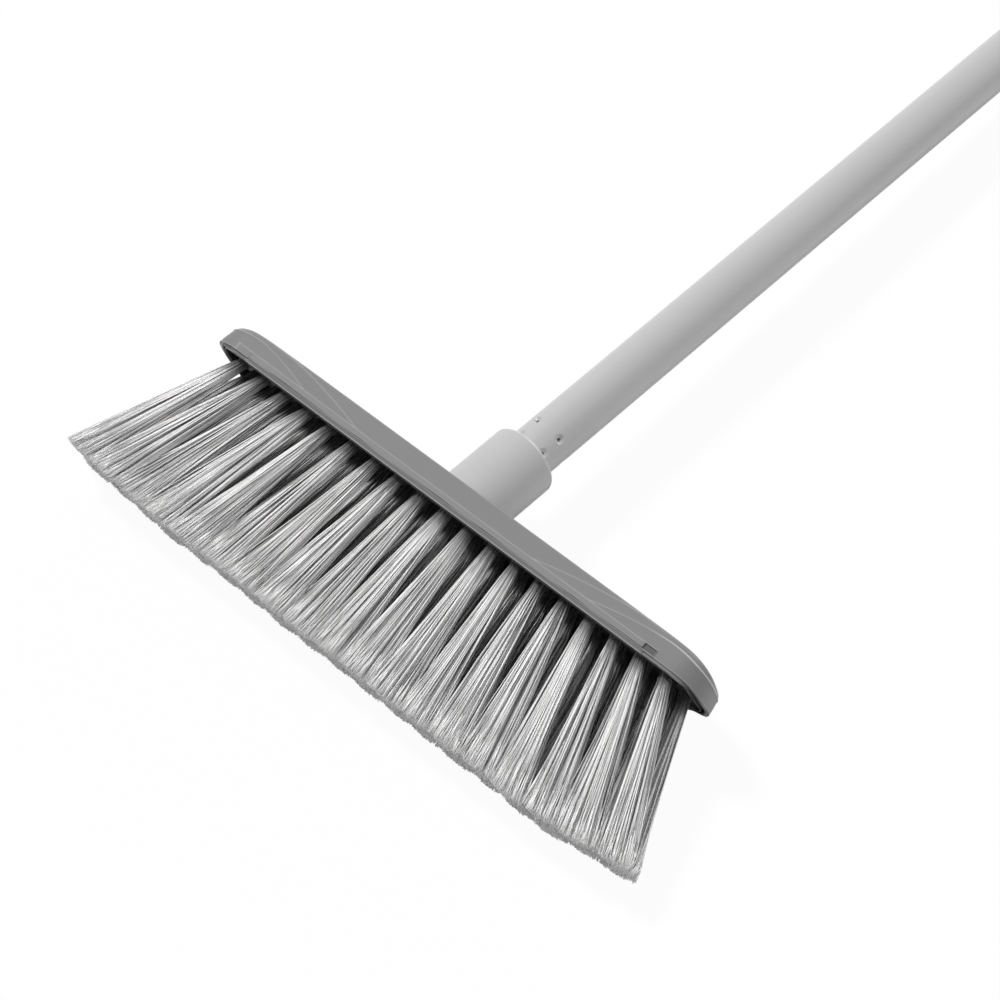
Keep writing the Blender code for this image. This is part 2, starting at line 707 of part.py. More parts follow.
def end_cap(handle):
    """Moulded cap pushed into the tube's top, with a cross hole to hang the broom by."""
    profile = [(0, CAP_END)]
    profile += rounded_corner(CAP_RADIUS - CAP_ROUND, CAP_END - CAP_ROUND, CAP_ROUND)
    profile += [
        (CAP_RADIUS, CAP_FOOT),
        (PLUG_RADIUS, CAP_FOOT),
        (PLUG_RADIUS, CAP_FOOT - CAP_PLUG_LENGTH),
        (0, CAP_FOOT - CAP_PLUG_LENGTH),
    ]
    cap = turned("end_cap", profile, handle, CAP_PLASTIC)
    reach = CAP_RADIUS + OVERRUN
    drill = cylinder_profile(HANG_RADIUS, -reach, reach)
    hole = turned("hang_cutter", drill, handle, None, CUTTERS, HOLE_STEPS)
    along_x = Matrix.Rotation(math.pi / 2, 4, "Y")
    hole.matrix_local = Matrix.Translation((0, 0, CAP_END - HANG_DROP)) @ along_x
    combine(cap, hole, "DIFFERENCE")
    return cap


def world_box(objects):
    """Low and high corners of the finished pieces."""
    graph = bpy.context.evaluated_depsgraph_get()
    corners = []
    for obj in objects:
        shown = obj.evaluated_get(graph)
        mesh = shown.to_mesh()
        corners += [shown.matrix_world @ vertex.co for vertex in mesh.vertices]
        shown.to_mesh_clear()
    low = Vector([min(corner[i] for corner in corners) for i in range(3)])
    high = Vector([max(corner[i] for corner in corners) for i in range(3)])
    return low, high


def build():
    slope = floor_slope()
    root = empty("broom")
    tilt = HANDLE_LEAN - slope
    head = empty("head_frame", root, Matrix.Rotation(tilt - math.pi / 2, 4, "X"))
    seat = Matrix.Translation((0, 0, SHELL_TOP)) @ Matrix.Rotation(-HANDLE_LEAN, 4, "X")
    handle = empty("handle_frame", head, seat)
    bpy.context.view_layer.update()
    shell = head_shell(head)
    cut_shell_for_neck(shell, handle)
    pieces = [shell, bristle_block(head), socket_collar(head, handle)]
    pieces += [tuft_column(number, head) for number in range(COLUMNS)]
    pieces += [mouth_ring(handle), handle_tube(handle), threaded_tip(handle), end_cap(handle)]
    low, high = world_box(pieces)
    root.location = (0, -(low.y + high.y) / 2, -low.z)
    bpy.context.view_layer.update()


build()
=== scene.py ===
"""Looks of the indoor broom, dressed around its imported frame.

Shapes are worked out in millimetres in two frames. The head's frame has x along the head, y to its
back and z up from the underside of the bristle block. The handle's frame has z along the handle,
with z = 0 on top of the shell. placed() brings both to the row frame, in metres.
"""

import json
import math
from functools import partialmethod

import bmesh
import bpy
import numpy as np
from mathutils import Matrix, Vector


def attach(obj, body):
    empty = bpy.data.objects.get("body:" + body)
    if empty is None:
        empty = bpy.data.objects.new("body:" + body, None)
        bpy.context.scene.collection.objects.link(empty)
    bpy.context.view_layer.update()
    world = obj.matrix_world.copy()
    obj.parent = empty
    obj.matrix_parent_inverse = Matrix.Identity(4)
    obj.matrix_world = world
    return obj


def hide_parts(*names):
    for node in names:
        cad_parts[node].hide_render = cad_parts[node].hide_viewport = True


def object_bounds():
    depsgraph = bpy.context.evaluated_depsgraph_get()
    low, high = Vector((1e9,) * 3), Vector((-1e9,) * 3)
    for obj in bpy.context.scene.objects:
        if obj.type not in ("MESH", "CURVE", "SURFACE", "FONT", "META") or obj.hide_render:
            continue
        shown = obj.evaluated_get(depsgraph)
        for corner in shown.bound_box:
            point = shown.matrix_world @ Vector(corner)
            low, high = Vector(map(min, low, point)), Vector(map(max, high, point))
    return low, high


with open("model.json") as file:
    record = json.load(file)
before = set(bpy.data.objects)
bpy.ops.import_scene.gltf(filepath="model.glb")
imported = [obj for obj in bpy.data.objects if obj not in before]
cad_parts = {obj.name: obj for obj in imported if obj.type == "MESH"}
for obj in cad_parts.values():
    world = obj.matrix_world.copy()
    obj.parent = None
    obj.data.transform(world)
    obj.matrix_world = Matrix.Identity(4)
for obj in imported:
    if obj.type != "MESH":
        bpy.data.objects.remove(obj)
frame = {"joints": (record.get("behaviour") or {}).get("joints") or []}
CAD_BOX = [list(corner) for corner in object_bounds()]

MM = 0.001
TURN = 2 * math.pi
SEED = 7150
SPOKES = 128
BEVEL = 0.3

# Sizes that the pieces share with the part's source; _X and _Y are half sizes along x and y
LEAN = math.radians(16)
SHELL_TOP = 13.3
SHELL_RIM = 1.5
SHELL_WALL = 2.0
SHELL_X = 134.0
SHELL_Y = 19.0
STRAIGHT_X = 118.0
DROP_START = 105.0
DROP_RUN = 29.0
DROP_POWER = 2.5
PLAN_POWER = 2.6
WINDOW = (-112.9, 110.4)
WINDOW_LOW = 2.0
WINDOW_HIGH = 4.6
STRIP_END = 104.6
LEDGE_END = 105.7
BLOCK_X = 128.4
BLOCK_Y = 16.4
BLOCK_HEIGHT = 6.0
COLUMNS = 19
LAST_PLACE = (COLUMNS - 1) / 2
COLUMN_PITCH = 12.8
ROW_PITCH = 12.0
TIP_PITCH = 16.3
MIDDLE_TIP_PITCH = 15.1
TIP_ROW_PITCH = 8.64
END_TUFT = 122.9
END_TIP = 149.6
TUFT_RADIUS = 2.1
BRISTLE_LENGTH = 73.4
END_RISE_RUN = 50.0
END_RISE_POWER = 1.5
COLLAR_HEIGHT = 31.0
COLLAR_RADIUS = 15.7
COLLAR_ROUND = 2.0
NECK_RADIUS = 12.6
SEAT_PLANE = 12.7
FLANGE = (24.0, 14.4)
FLANGE_LOW = 8.5
FLANGE_TOP = 11.0
RING_INNER = 11.3
RING_OUTER = 12.7
RING_HEIGHT = 2.4
TUBE_RADIUS = 11.0
TUBE_WALL = 0.5
TUBE_START = 22.0
TUBE_END = 1172.0
LEAD = 5.0
TIP_CORE = 7.6
TIP_LOW = -3.5
SHOULDER_LOW = 20.2
SHOULDER_TOP = 21.7
PLUG_RADIUS = 10.2
PLUG_TOP = 52.0
PLUG_BORE = 6.0
DIMPLE_HEIGHTS = (33.2, 43.2)
DIMPLE_COLUMNS = 5
DIMPLE_TURN = math.radians(-45)
CAP_RADIUS = 12.0
CAP_FOOT = 1172.3
CAP_END = 1202.3
CAP_ROUND = 5.0
CAP_EDGE = 0.5
CAP_PLUG_LENGTH = 16.0
HANG_RADIUS = 4.5
HANG_DROP = 12.0


def find_places():
    """Axes (rows) and origin of the head's and the handle's frame. The handle's hinge gives its
    line, and the head's z leans off it by LEAN."""
    hinge = next(j for j in frame["joints"] if j["name"] == "handle_turn")
    along = np.array(hinge["axis"])
    back = np.array((0, along[2], -along[1]))
    side = np.array((1.0, 0, 0))
    base = np.array(hinge["pos_m"]) - COLLAR_HEIGHT * MM * along
    head_back = math.cos(LEAN) * back + math.sin(LEAN) * along
    head_up = math.cos(LEAN) * along - math.sin(LEAN) * back
    head = (np.array((side, head_back, head_up)), base - SHELL_TOP * MM * head_up)
    return head, (np.array((side, back, along)), base)


HEAD, HANDLE = find_places()


def placed(points, place):
    """A frame's millimetres in the row frame's metres: origin + each coordinate times its axis."""
    axes, origin = place
    return origin + MM * np.asarray(points, float) @ axes


def step(value, low, high):
    """0 below low, 1 above high, and a smooth cubic between."""
    share = np.clip((value - low) / (high - low), 0, 1)
    return share * share * (3 - 2 * share)


def hump(distance, width):
    """A bell, 1 at no distance: exp of minus the square of distance / width."""
    return np.exp(-((distance / width) ** 2))


# Meshes from arrays

def grid(points, wrap_rows=False, wrap_columns=True, caps=(False, False)):
    """Points and faces of rows x columns of points: each face joins two neighbours of one row with
    the two beside them in the next. Rows run up and columns to the left, so faces point outwards.
    A cap closes the first or last row with a fan."""
    rows, columns = points.shape[:2]
    index = np.arange(rows * columns).reshape(rows, columns)
    low = index if wrap_rows else index[:-1]
    high = np.roll(index, -1, 0) if wrap_rows else index[1:]
    if wrap_columns:
        quads = np.stack([low, np.roll(low, -1, 1), np.roll(high, -1, 1), high], -1)
    else:
        quads = np.stack([low[:, :-1], low[:, 1:], high[:, 1:], high[:, :-1]], -1)
    flat = points.reshape(-1, 3)
    fans = []
    for row, wanted, turn in ((0, caps[0], 1), (rows - 1, caps[1], -1)):
        if wanted:
            ring = index[row]
            edge = [np.roll(ring, -1), ring][::turn]
            fans.append(np.stack([*edge, np.full(columns, len(flat))], -1))
            flat = np.vstack([flat, points[row].mean(0)])
    return flat, [quads.reshape(-1, 4), *fans]


def joined(*parts):
    """Several (points, faces) as one: faces' numbers move on by the points before them."""
    points, faces, count = [], [], 0
    for part_points, part_faces in parts:
        points.append(part_points)
        faces += [face + count for face in part_faces]
        count += len(part_points)
    return np.vstack(points), faces


def new_mesh(name, shape, place, sharp=38):
    """A mesh object of a shape's points and faces, smooth but for its sharp edges."""
    points, faces = shape
    mesh = bpy.data.meshes.new(name)
    mesh.vertices.add(len(points))
    mesh.vertices.foreach_set("co", placed(points, place).ravel())
    sizes = np.concatenate([np.full(len(face), face.shape[1]) for face in faces])
    corners = np.concatenate([face.ravel() for face in faces])
    mesh.loops.add(len(corners))
    mesh.loops.foreach_set("vertex_index", corners)
    mesh.polygons.add(len(sizes))
    mesh.polygons.foreach_set("loop_start", np.concatenate([[0], np.cumsum(sizes)[:-1]]))
    mesh.update(calc_edges=True)
    mesh.validate()
    smooth(mesh, sharp)
    return linked(name, mesh)


def linked(name, data):
    """A new object of that data, in the scene."""
    made = bpy.data.objects.new(name, data)
    bpy.context.scene.collection.objects.link(made)
    return made


def smooth(mesh, sharp):
    """Smooth shading, but for edges sharper than so many degrees."""
    mesh.polygons.foreach_set("use_smooth", np.ones(len(mesh.polygons), bool))
    mesh.set_sharp_from_angle(angle=math.radians(sharp))


def add_values(mesh, label, values):
    """One number a point, which the materials read by its label."""
    layer = mesh.attributes.new(label, "FLOAT", "POINT")
    layer.data.foreach_set("value", np.asarray(values, np.float32))


def merge_doubles(piece, reach=0.004 * MM):
    """Joins points within reach of each other and drops faces left without area."""
    bm = bmesh.new()
    bm.from_mesh(piece.data)
    bmesh.ops.remove_doubles(bm, verts=bm.verts, dist=reach)
    bmesh.ops.dissolve_degenerate(bm, edges=bm.edges, dist=reach)
    bm.to_mesh(piece.data)
    bm.free()


def cut(piece, cutter, sharp=38):
    """Takes the cutter's form out of the piece and drops the cutter."""
    change = piece.modifiers.new("cut", "BOOLEAN")
    change.operation = "DIFFERENCE"
    change.solver = "EXACT"
    change.object = cutter
    shown = piece.evaluated_get(bpy.context.evaluated_depsgraph_get())
    mesh = bpy.data.meshes.new_from_object(shown)
    piece.modifiers.clear()
    piece.data = mesh
    bpy.data.objects.remove(cutter, do_unlink=True)
    smooth(mesh, sharp)


def angles(count=SPOKES):
    """So many even angles, once round."""
    return np.arange(count) / count * TURN


def around(radius, angle, height):
    """Points at a radius, an angle and a height about z."""
    return np.stack(np.broadcast_arrays(radius * np.cos(angle), radius * np.sin(angle), height), -1)


def turned(profile, columns=SPOKES):
    """Rows of points: each (radius, height) of the profile carried once round z."""
    profile = np.asarray(profile, float)
    return around(profile[:, :1], angles(columns), profile[:, 1:])


def arc(radius, height, size, start, end, steps=6):
    """Points of a profile's arc round (radius, height), from one angle to another in degrees."""
    angle = np.radians(np.linspace(start, end, steps + 1))
    return np.stack([radius + size * np.cos(angle), height + size * np.sin(angle)], -1)


# Head shell

SKIN_TOP = 13.75
SKIN_END_TOP = (8.4, 9.0)
SIDE_LEAN = 0.3
EDGE_ROUND = 1.7
NOSE = (1.1, 0.8)
NOSE_SHARE = 0.7
RIM_LIFT = 1.0
END_TRIM = 0.7
BAND_TOP = (4.72, 4.98)
BAND = (-120.6, 110.6)
BAND_END = 0.3
BAND_RISE = 0.22
LOW_CREASES = ((85.0, 5.3, 0.3, 0.0038), (77.1, 5.3, 0.2467, 0.00269))
HIGH_CREASES = ((54.0, 5.2, 0.26, 0.0019), (46.2, 5.2, 0.237, 0.00155))
CREASE_END = 112.0
END_GAP = 3.4
RIDGE = ((106.0, 112.0, 118.0, 125.2, 129.4, 134.0), (11.5, 10.75, 10.5, 9.6, 9.2, 9.0))
FACE_INSET = 0.8
END_INSET = 1.7
BEAD_HEIGHT = 0.16
BEAD_WIDTH = 0.26
CREASE_BLUR = 0.16
EDGE_WIDTH = 0.28
# Strengths of the painted highlights on edges and rims, and of the painted shade over the right end
EDGE_PAINTED_HIGHLIGHT = 0.4
RIM_PAINTED_HIGHLIGHT = 0.3
INNER_RIM_PAINTED_HIGHLIGHT = 0.6
END_SHADE = 0.4
SHADE_RISE = (0.2, 1.2)
NECK_CLEARANCE = 0.3
NECK_CUT = (-30, 20)
# Places along or across the head between which a form, a painted highlight or a painted shade sets
# in
GAP_SPAN = (104, 118)
INSET_SPAN = (90, 122)
RIDGE_SPAN = (98, 116)
SHADE_SPAN = (104, 120)
BEHIND_SPAN_X = (STRAIGHT_X, STRAIGHT_X + 8)
BEHIND_SPAN_Y = (-6, 8)
LEAN_START = 0.3


def top_height(x):
    """Height of the shell's top: level, then falling as a superellipse over the last DROP_RUN."""
    run = np.clip((np.abs(x) - DROP_START) / DROP_RUN, 0, 1)
    end = np.where(x < 0, *SKIN_END_TOP)
    return end + (SKIN_TOP - end) * (1 - run**DROP_POWER) ** (1 / DROP_POWER)


def side_run(x, y):
    """Place along a point's side: x in front and -x behind, as the sides are half a turn apart."""
    return np.where(y > 0, -x, x)


def behind_right(x, y):
    """0 in front and 1 behind the right end, with a smooth change round the end."""
    return step(x, *BEHIND_SPAN_X) * step(y, *BEHIND_SPAN_Y)


def off_band(run, z):
    """0 on the raised band and 1 off it, with short slopes at its ends and its upper edge."""
    inside = step(run, BAND[0] - BAND_END, BAND[0]) * (1 - step(run, BAND[1], BAND[1] + BAND_END))
    return np.maximum(step(z, *BAND_TOP), 1 - inside)


def crease_heights(run):
    """Lower and upper crease of the facet along one side: base + rise d - bend d^2 at a distance d
    past the crease's start. Round the ends the lower one is a ridge, and their gap is END_GAP."""
    reach = np.minimum(np.abs(run), CREASE_END)
    heights = []
    for ends in (LOW_CREASES, HIGH_CREASES):
        start, base, rise, bend = (np.where(run < 0, *pair) for pair in zip(*ends))
        past = reach - start
        heights.append(base + rise * past - bend * np.maximum(past, 0) ** 2)
    gap = heights[1] - heights[0]
    gap = gap + (END_GAP - gap) * step(np.abs(run), *GAP_SPAN)
    low = np.minimum(heights[0], np.interp(np.abs(run), *RIDGE))
    return low, low + gap


def facet_inset(x, y, z):
    """How far the wall lies inside its plain form: nothing on the raised band, BAND_RISE below the
    lower crease, rising evenly to the full inset at the upper one, less a fine bead on both."""
    run = side_run(x, y)
    low, high = crease_heights(run)
    blur = CREASE_BLUR / (high - low)
    share = (z - low) / (high - low)
    share = sum(np.clip(share + shift * blur, 0, 1) for shift in (-1, 0, 1)) / 3
    depth = FACE_INSET + (END_INSET - FACE_INSET) * step(np.abs(x), *INSET_SPAN)
    bead = sum(hump(z - crease, BEAD_WIDTH) for crease in (low, high))
    return off_band(run, z) * (BAND_RISE + depth * share - BEAD_HEIGHT * bead)


def edge_painted_highlight(x, y, z):
    """Painted highlight on the fine raised edges, where light catches them: both creases, most of
    all round the right end, the raised band's upper and left edge, and the rim beside the ledge."""
    run = side_run(x, y)
    low, high = crease_heights(run)
    ridge = EDGE_PAINTED_HIGHLIGHT + (1 - EDGE_PAINTED_HIGHLIGHT) * step(run, *RIDGE_SPAN)
    creases = ridge * hump(z - low, EDGE_WIDTH) + EDGE_PAINTED_HIGHLIGHT * hump(z - high, EDGE_WIDTH)
    inside = (run > BAND[0] - BAND_END) & (run < BAND[1])
    top = EDGE_PAINTED_HIGHLIGHT * hump(z - BAND_TOP[0], EDGE_WIDTH) * inside
    left = EDGE_PAINTED_HIGHLIGHT * hump(run - BAND[0], EDGE_WIDTH) * (z < BAND_TOP[0])
    beside = (run > LEDGE_END) | (run < WINDOW[0])
    rim = RIM_PAINTED_HIGHLIGHT * hump(z - SHELL_RIM, EDGE_WIDTH) * beside
    return np.clip(off_band(run, z) * creases + top + left + rim, 0, 1)


def end_shade(x, y, z):
    """Painted shade: how much darker the skin is painted above the ridge round the right end of
    each side, where it turns away from the light.
    """
    run = side_run(x, y)
    return END_SHADE * step(run, *SHADE_SPAN) * step(z - crease_heights(run)[0], *SHADE_RISE)


def shell_outline():
    """Plan outline: a straight front with stations at the windows' ends, a superelliptic right end,
    and the same two again turned half round."""
    marks = np.array([*WINDOW, BAND[1], BAND[1] + BAND_END])
    level = np.linspace(-STRAIGHT_X, STRAIGHT_X, 237)
    front = np.unique(np.concatenate([level, marks, -marks]))
    power = 2 / PLAN_POWER
    end_run = SHELL_X - STRAIGHT_X
    band_end = (-BAND[0] + np.array((0, 0.5, 1)) * BAND_END - STRAIGHT_X) / end_run
    band_turn = np.arccos(band_end ** (1 / power))
    turn = np.radians(np.linspace(-90, 90, 57))[1:-1]
    turn = np.sort(np.concatenate([turn, band_turn, -band_turn]))
    end_x = STRAIGHT_X + end_run * np.cos(turn) ** power
    end_y = SHELL_Y * np.sign(np.sin(turn)) * np.abs(np.sin(turn)) ** power
    half = np.vstack([
        np.stack([front, np.full(len(front), -SHELL_Y)], -1),
        np.stack([end_x, end_y], -1),
    ])
    return np.vstack([half, -half])


def shell_rows():
    """Inset and height share of each row up the side and round the top edge."""
    full = SKIN_TOP - SHELL_RIM
    edge = 1 - EDGE_ROUND / full
    band = [(mark - SHELL_RIM) / full for mark in (WINDOW_LOW, WINDOW_HIGH)]
    shares = np.concatenate([
        [0.0], np.linspace(*band, 7), np.linspace(band[1], edge, 42)[1:],
    ])
    insets = SIDE_LEAN * np.interp(shares, (0, LEAN_START, edge), (0, 0, 1))
    turn = np.radians(np.linspace(0, 90, 11))[1:]
    insets = np.concatenate([insets, SIDE_LEAN + EDGE_ROUND * (1 - np.cos(turn))])
    return insets, np.concatenate([shares, edge + (1 - edge) * np.sin(turn)])


def shell_skin(outline, facets):
    """Rows of the shell's outer skin. A side row is the outline drawn in by its inset, at its share
    of the local height; the rows over the top run straight from the edge to the spine. The facets'
    inset and the height depend on each other, so they are worked out by turns. Both ends stand out
    at the rim by NOSE, the right one is END_TRIM shorter, and behind it the rim is RIM_LIFT up."""
    insets, shares = (values[:, None] for values in shell_rows())
    x, y = outline[:, 0], outline[:, 1]
    rim = SHELL_RIM + RIM_LIFT * behind_right(x, y)
    inset = insets * np.ones(len(outline))
    for _ in range(4):
        side_x = x * (1 - inset / SHELL_X)
        side_y = y * (1 - inset / SHELL_Y)
        height = rim + shares * (top_height(side_x) - rim)
        if facets:
            inset = insets + facet_inset(x, y, height)
    nose = np.where(x < 0, *NOSE) * step(np.abs(x), STRAIGHT_X, SHELL_X)
    side_x = side_x + np.sign(x) * nose * np.maximum(1 - shares / NOSE_SHARE, 0)
    side_x = side_x - END_TRIM * step(x, STRAIGHT_X, SHELL_X)
    share = np.linspace(0, 1, 9)[1:, None]
    spine = x * (SHELL_X - SHELL_Y) / SHELL_X
    top_x = side_x[-1] + share * (spine - side_x[-1])
    top_y = side_y[-1] * (1 - share)
    side = np.stack([side_x, side_y, height], -1)
    return np.vstack([side, np.stack([top_x, top_y, top_height(top_x)], -1)])


def skin_normals(points):
    """Unit normals of a grid: the cross product of its steps along the row and to the next row."""
    along = np.roll(points, -1, 1) - np.roll(points, 1, 1)
    normal = np.cross(along, np.gradient(points, axis=0))
    normal[-1, :, 1] = 0
    return normal / np.maximum(np.linalg.norm(normal, axis=-1, keepdims=True), 1e-9)


def thick_sheet(outer, inner, keep):
    """A wall between two grids: both skins where keep holds, and a strip from skin to skin along
    each edge between a kept place and one left out. The last row is the closed spine."""
    rows, columns = outer.shape[:2]
    index = np.arange(rows * columns).reshape(rows, columns)
    twin = rows * columns
    low, high = index[:-1], index[1:]
    skin = np.stack([low, np.roll(low, -1, 1), np.roll(high, -1, 1), high], -1)[keep]
    below = np.vstack([np.zeros((1, columns), bool), keep[:-1]])
    beside = np.roll(keep, 1, 1)
    edges = []
    for found, first, second in (
        (keep & ~below, np.roll(low, -1, 1), low),
        (below & ~keep, low, np.roll(low, -1, 1)),
        (keep & ~beside, low, high),
        (beside & ~keep, high, low),
    ):
        a, b = first[found], second[found]
        edges.append(np.stack([a, b, b + twin, a + twin], -1))
    points = np.vstack([outer.reshape(-1, 3), inner.reshape(-1, 3)])
    return points, [skin, skin[:, ::-1] + twin, *edges]


def head_shell():
    """The hollow cover: creased outer skin, plain inner skin one wall inside it, the two windows,
    and the round hole for the collar's neck. Its inner skin carries painted shade, and its rim
    round both ends a painted highlight."""
    outline = shell_outline()
    outer = shell_skin(outline, True)
    plain = shell_skin(outline, False)
    inner = plain - SHELL_WALL * skin_normals(plain)
    middle = (outline + np.roll(outline, -1, 0)) / 2
    rise = (outer[:-1, 0, 2] + outer[1:, 0, 2]) / 2
    in_band = (rise > WINDOW_LOW) & (rise < WINDOW_HIGH)
    run = side_run(*middle.T)
    on_side = np.abs(middle[:, 1]) > SHELL_Y - 0.1
    keep = ~(in_band[:, None] & on_side & (run > WINDOW[0]) & (run < WINDOW[1]))
    shell = new_mesh("shell", thick_sheet(outer, inner, keep), HEAD, 28)
    place = np.moveaxis(outer, -1, 0)
    # Painted highlight on the edges and on the inner rim round the ends; painted shade over the
    # right end's top and the inner skin
    inner_painted_highlight, inner_shade = np.zeros(place[0].shape), np.ones(place[0].shape)
    inner_painted_highlight[0] = INNER_RIM_PAINTED_HIGHLIGHT * (np.abs(outline[:, 0]) > LEDGE_END)
    inner_shade[0] = 0
    add_values(shell.data, "shine", np.stack([edge_painted_highlight(*place), inner_painted_highlight]).ravel())
    add_values(shell.data, "shade", np.stack([end_shade(*place), inner_shade]).ravel())
    merge_doubles(shell)
    radius = NECK_RADIUS + NECK_CLEARANCE
    bore = grid(turned([(radius, z) for z in NECK_CUT], 96), caps=(True, True))
    cut(shell, new_mesh("neck_cutter", bore, HANDLE), 28)
    return shell


# Bristle block

CORNER = 5.5
TRAY_LOW = 4.0
LIP_HEIGHT = 0.35
HOLE_DEPTH = 1.2
BAR_BACK = 15.4
BAR_FACE = 18.9
STRIP_LOW = 2.1
STRIP_SLANT = 2.6
SLANT_RUN = 9.0
STRIP_TOP = 4.7
BAR_ROUND = 0.12
STRIP_WAVE = 0.08
RIM_TOP = 0.42
SKIRT_WALL = 0.7
SKIRT_LIFT = 2.4
RECESS_FACE = 18.4
LIP_INSET = (0.8, 1.6)
LIP_LOW = 0.15
LIP_LIFT = 1.0
LIP_SPAN = (127, 131)
# Painted shade on the lip and the skirt's wall, and painted highlights on the fine edges and the
# lip's lower edge
LIP_SHADE = (0.35, 0.8)
LIP_PAINTED_GLINT = 0.9
BLOCK_PAINTED_HIGHLIGHT = 0.5
WALL_SHADE = 0.7
LEDGE_GAP = 0.03
SKIRT_ROUND = 0.15
SKIRT_SPAN_X = (114, 121)
SKIRT_SPAN_Y = (-10, 2)
TRAY_ROUND = 0.5
HOLE_EDGE = 0.4
HOLE_LIP = 0.55
CORNER_ROWS = 13
# Length in mm over 2 pi, share and start of the slow waves along the strip's lower edge
WAVES = ((6.1, 1.0, 0), (3.7, 0.8, 1), (15.0, 0.9, 2))


def hole_field(x, y):
    """Height of the underside: a raised lip round each tuft's hole, and the hole's depth in it."""
    past = np.full(x.shape, np.inf)
    for number in range(COLUMNS):
        for (root_x, root_y), *_ in tuft_lines(number):
            past = np.minimum(past, np.hypot(x - root_x, y - root_y) - TUFT_RADIUS)
    lip = LIP_HEIGHT * hump(past - HOLE_LIP, HOLE_EDGE)
    return HOLE_DEPTH * (1 - step(past, 0, HOLE_EDGE)) - lip


def block_half_depth(x):
    """Half depth of the block's plan: full, and round the corners on a quarter circle."""
    run = np.maximum(np.abs(x) - (BLOCK_X - CORNER), 0)
    return BLOCK_Y - CORNER + np.sqrt(np.maximum(CORNER**2 - run**2, 0))


def block_tray():
    """The block's body: a closed section carried along x, as wide as the plan there: up one side,
    over the top, down the other side, and back along the underside with its hole_field."""
    straight = BLOCK_X - CORNER
    bend = straight + CORNER * np.sin(np.radians(np.linspace(0, 90, CORNER_ROWS)))[1:]
    x = np.concatenate([-bend[::-1], np.linspace(-straight, straight, 479), bend])
    size = TRAY_ROUND
    up = np.radians(np.linspace(-90, 90, 9))
    corner_inset = size * (1 - np.cos(up))
    corner_z = np.where(up < 0, TRAY_LOW + size, BLOCK_HEIGHT - size) + size * np.sin(up)
    under = np.linspace(-1, 1, 69)[1:-1]
    flat = np.ones(len(under))
    share = np.concatenate([np.ones(9), [0.4, -0.4], -np.ones(9), under])
    inset = np.concatenate([corner_inset, [size, size], corner_inset[::-1], flat * size])
    base = np.concatenate([corner_z, [BLOCK_HEIGHT] * 2, corner_z[::-1], flat * TRAY_LOW])
    y = share * (block_half_depth(x)[:, None] - inset)
    x = np.broadcast_to(x[:, None], y.shape)
    z = np.broadcast_to(base, y.shape).copy()
    z[:, -len(under):] += hole_field(x[:, -len(under):], y[:, -len(under):])
    return grid(np.stack([x, y, z], -1), caps=(True, True))


def bar(section, start, end, side, wave=0.0, slant=0.0):
    """A closed section of (y, z) carried along x on one side of the head. Its ends are drawn in a
    little, its lower points follow a few slow waves, and the start's back lies further in."""
    section = np.asarray(section, float)
    x = np.linspace(start, end, 260)
    x[[1, -2]] = x[0] + BAR_ROUND, x[-1] - BAR_ROUND
    scale = np.ones((len(x), 1))
    scale[[0, -1]] = 1 - BAR_ROUND / np.ptp(section[:, 1])
    middle = section.mean(0)
    y = middle[0] + (section[:, 0] - middle[0]) * scale
    z = middle[1] + (section[:, 1] - middle[1]) * scale
    waves = sum(share * np.sin(x / length + shift) for length, share, shift in WAVES)
    z = z + np.where(section[:, 1] < middle[1], wave, 0) * waves[:, None]
    back = (section[:, 0].max() - section[:, 0]) / np.ptp(section[:, 0])
    x = x[:, None] + slant * back * np.clip(1 - (x[:, None] - start) / SLANT_RUN, 0, 1)
    return grid(np.stack([x, y, z], -1) * (side, side, 1), caps=(True, True))


def skirt():
    """Wall round the block's edge: a rounded section carried round the plan's straight sides and
    quarter-circle corners. Its lower edge rises by SKIRT_LIFT behind the right end."""
    size, top, wall = SKIRT_ROUND, BLOCK_HEIGHT - SKIRT_ROUND, SKIRT_WALL
    section = [(size, size), (0, 2 * size), (0, top - size), (size, top),
               (wall - size, top), (wall, top - size), (wall, 2 * size), (wall - size, size)]
    quarters = [np.linspace(at, at + 90, CORNER_ROWS) for at in (0, 90, 180, 270)]
    turn = np.radians(np.concatenate(quarters))
    corner = np.repeat([(1, 1), (-1, 1), (-1, -1), (1, -1)], CORNER_ROWS, 0)
    corner = corner * (BLOCK_X - CORNER, BLOCK_Y - CORNER)
    rows = []
    for inset, z in section:
        plan = corner + (CORNER - inset) * np.stack([np.cos(turn), np.sin(turn)], -1)
        behind = step(plan[:, 0], *SKIRT_SPAN_X) * step(plan[:, 1], *SKIRT_SPAN_Y)
        rows.append(np.column_stack([plan, z + SKIRT_LIFT * behind * (z < BLOCK_HEIGHT / 2)]))
    return grid(np.array(rows), wrap_rows=True)


def lip():
    """Recessed lip under the shell's rim: a rounded section carried round the outline, LIP_INSET
    inside it. Its lower edge rises by LIP_LIFT round both ends, and all of it with the rim."""
    outline = shell_outline()
    x, y = outline[:, 0], outline[:, 1]
    size = BAR_ROUND
    out, deep = LIP_INSET
    top = SHELL_RIM - LEDGE_GAP
    behind = behind_right(x, y)
    rise = LIP_LIFT * np.maximum(step(np.abs(x), *LIP_SPAN), behind)
    trim = END_TRIM * step(x, STRAIGHT_X, SHELL_X)
    rows = []
    for inset, z in ((out + size, LIP_LOW), (out, LIP_LOW + size), (out, top), (deep, top),
                     (deep, LIP_LOW + size), (deep - size, LIP_LOW)):
        plan_x = x * (1 - inset / SHELL_X) - trim
        plan_y = y * (1 - inset / SHELL_Y)
        rows.append(np.stack([plan_x, plan_y, z + rise * (z < top) + RIM_LIFT * behind], -1))
    return grid(np.array(rows), wrap_rows=True)


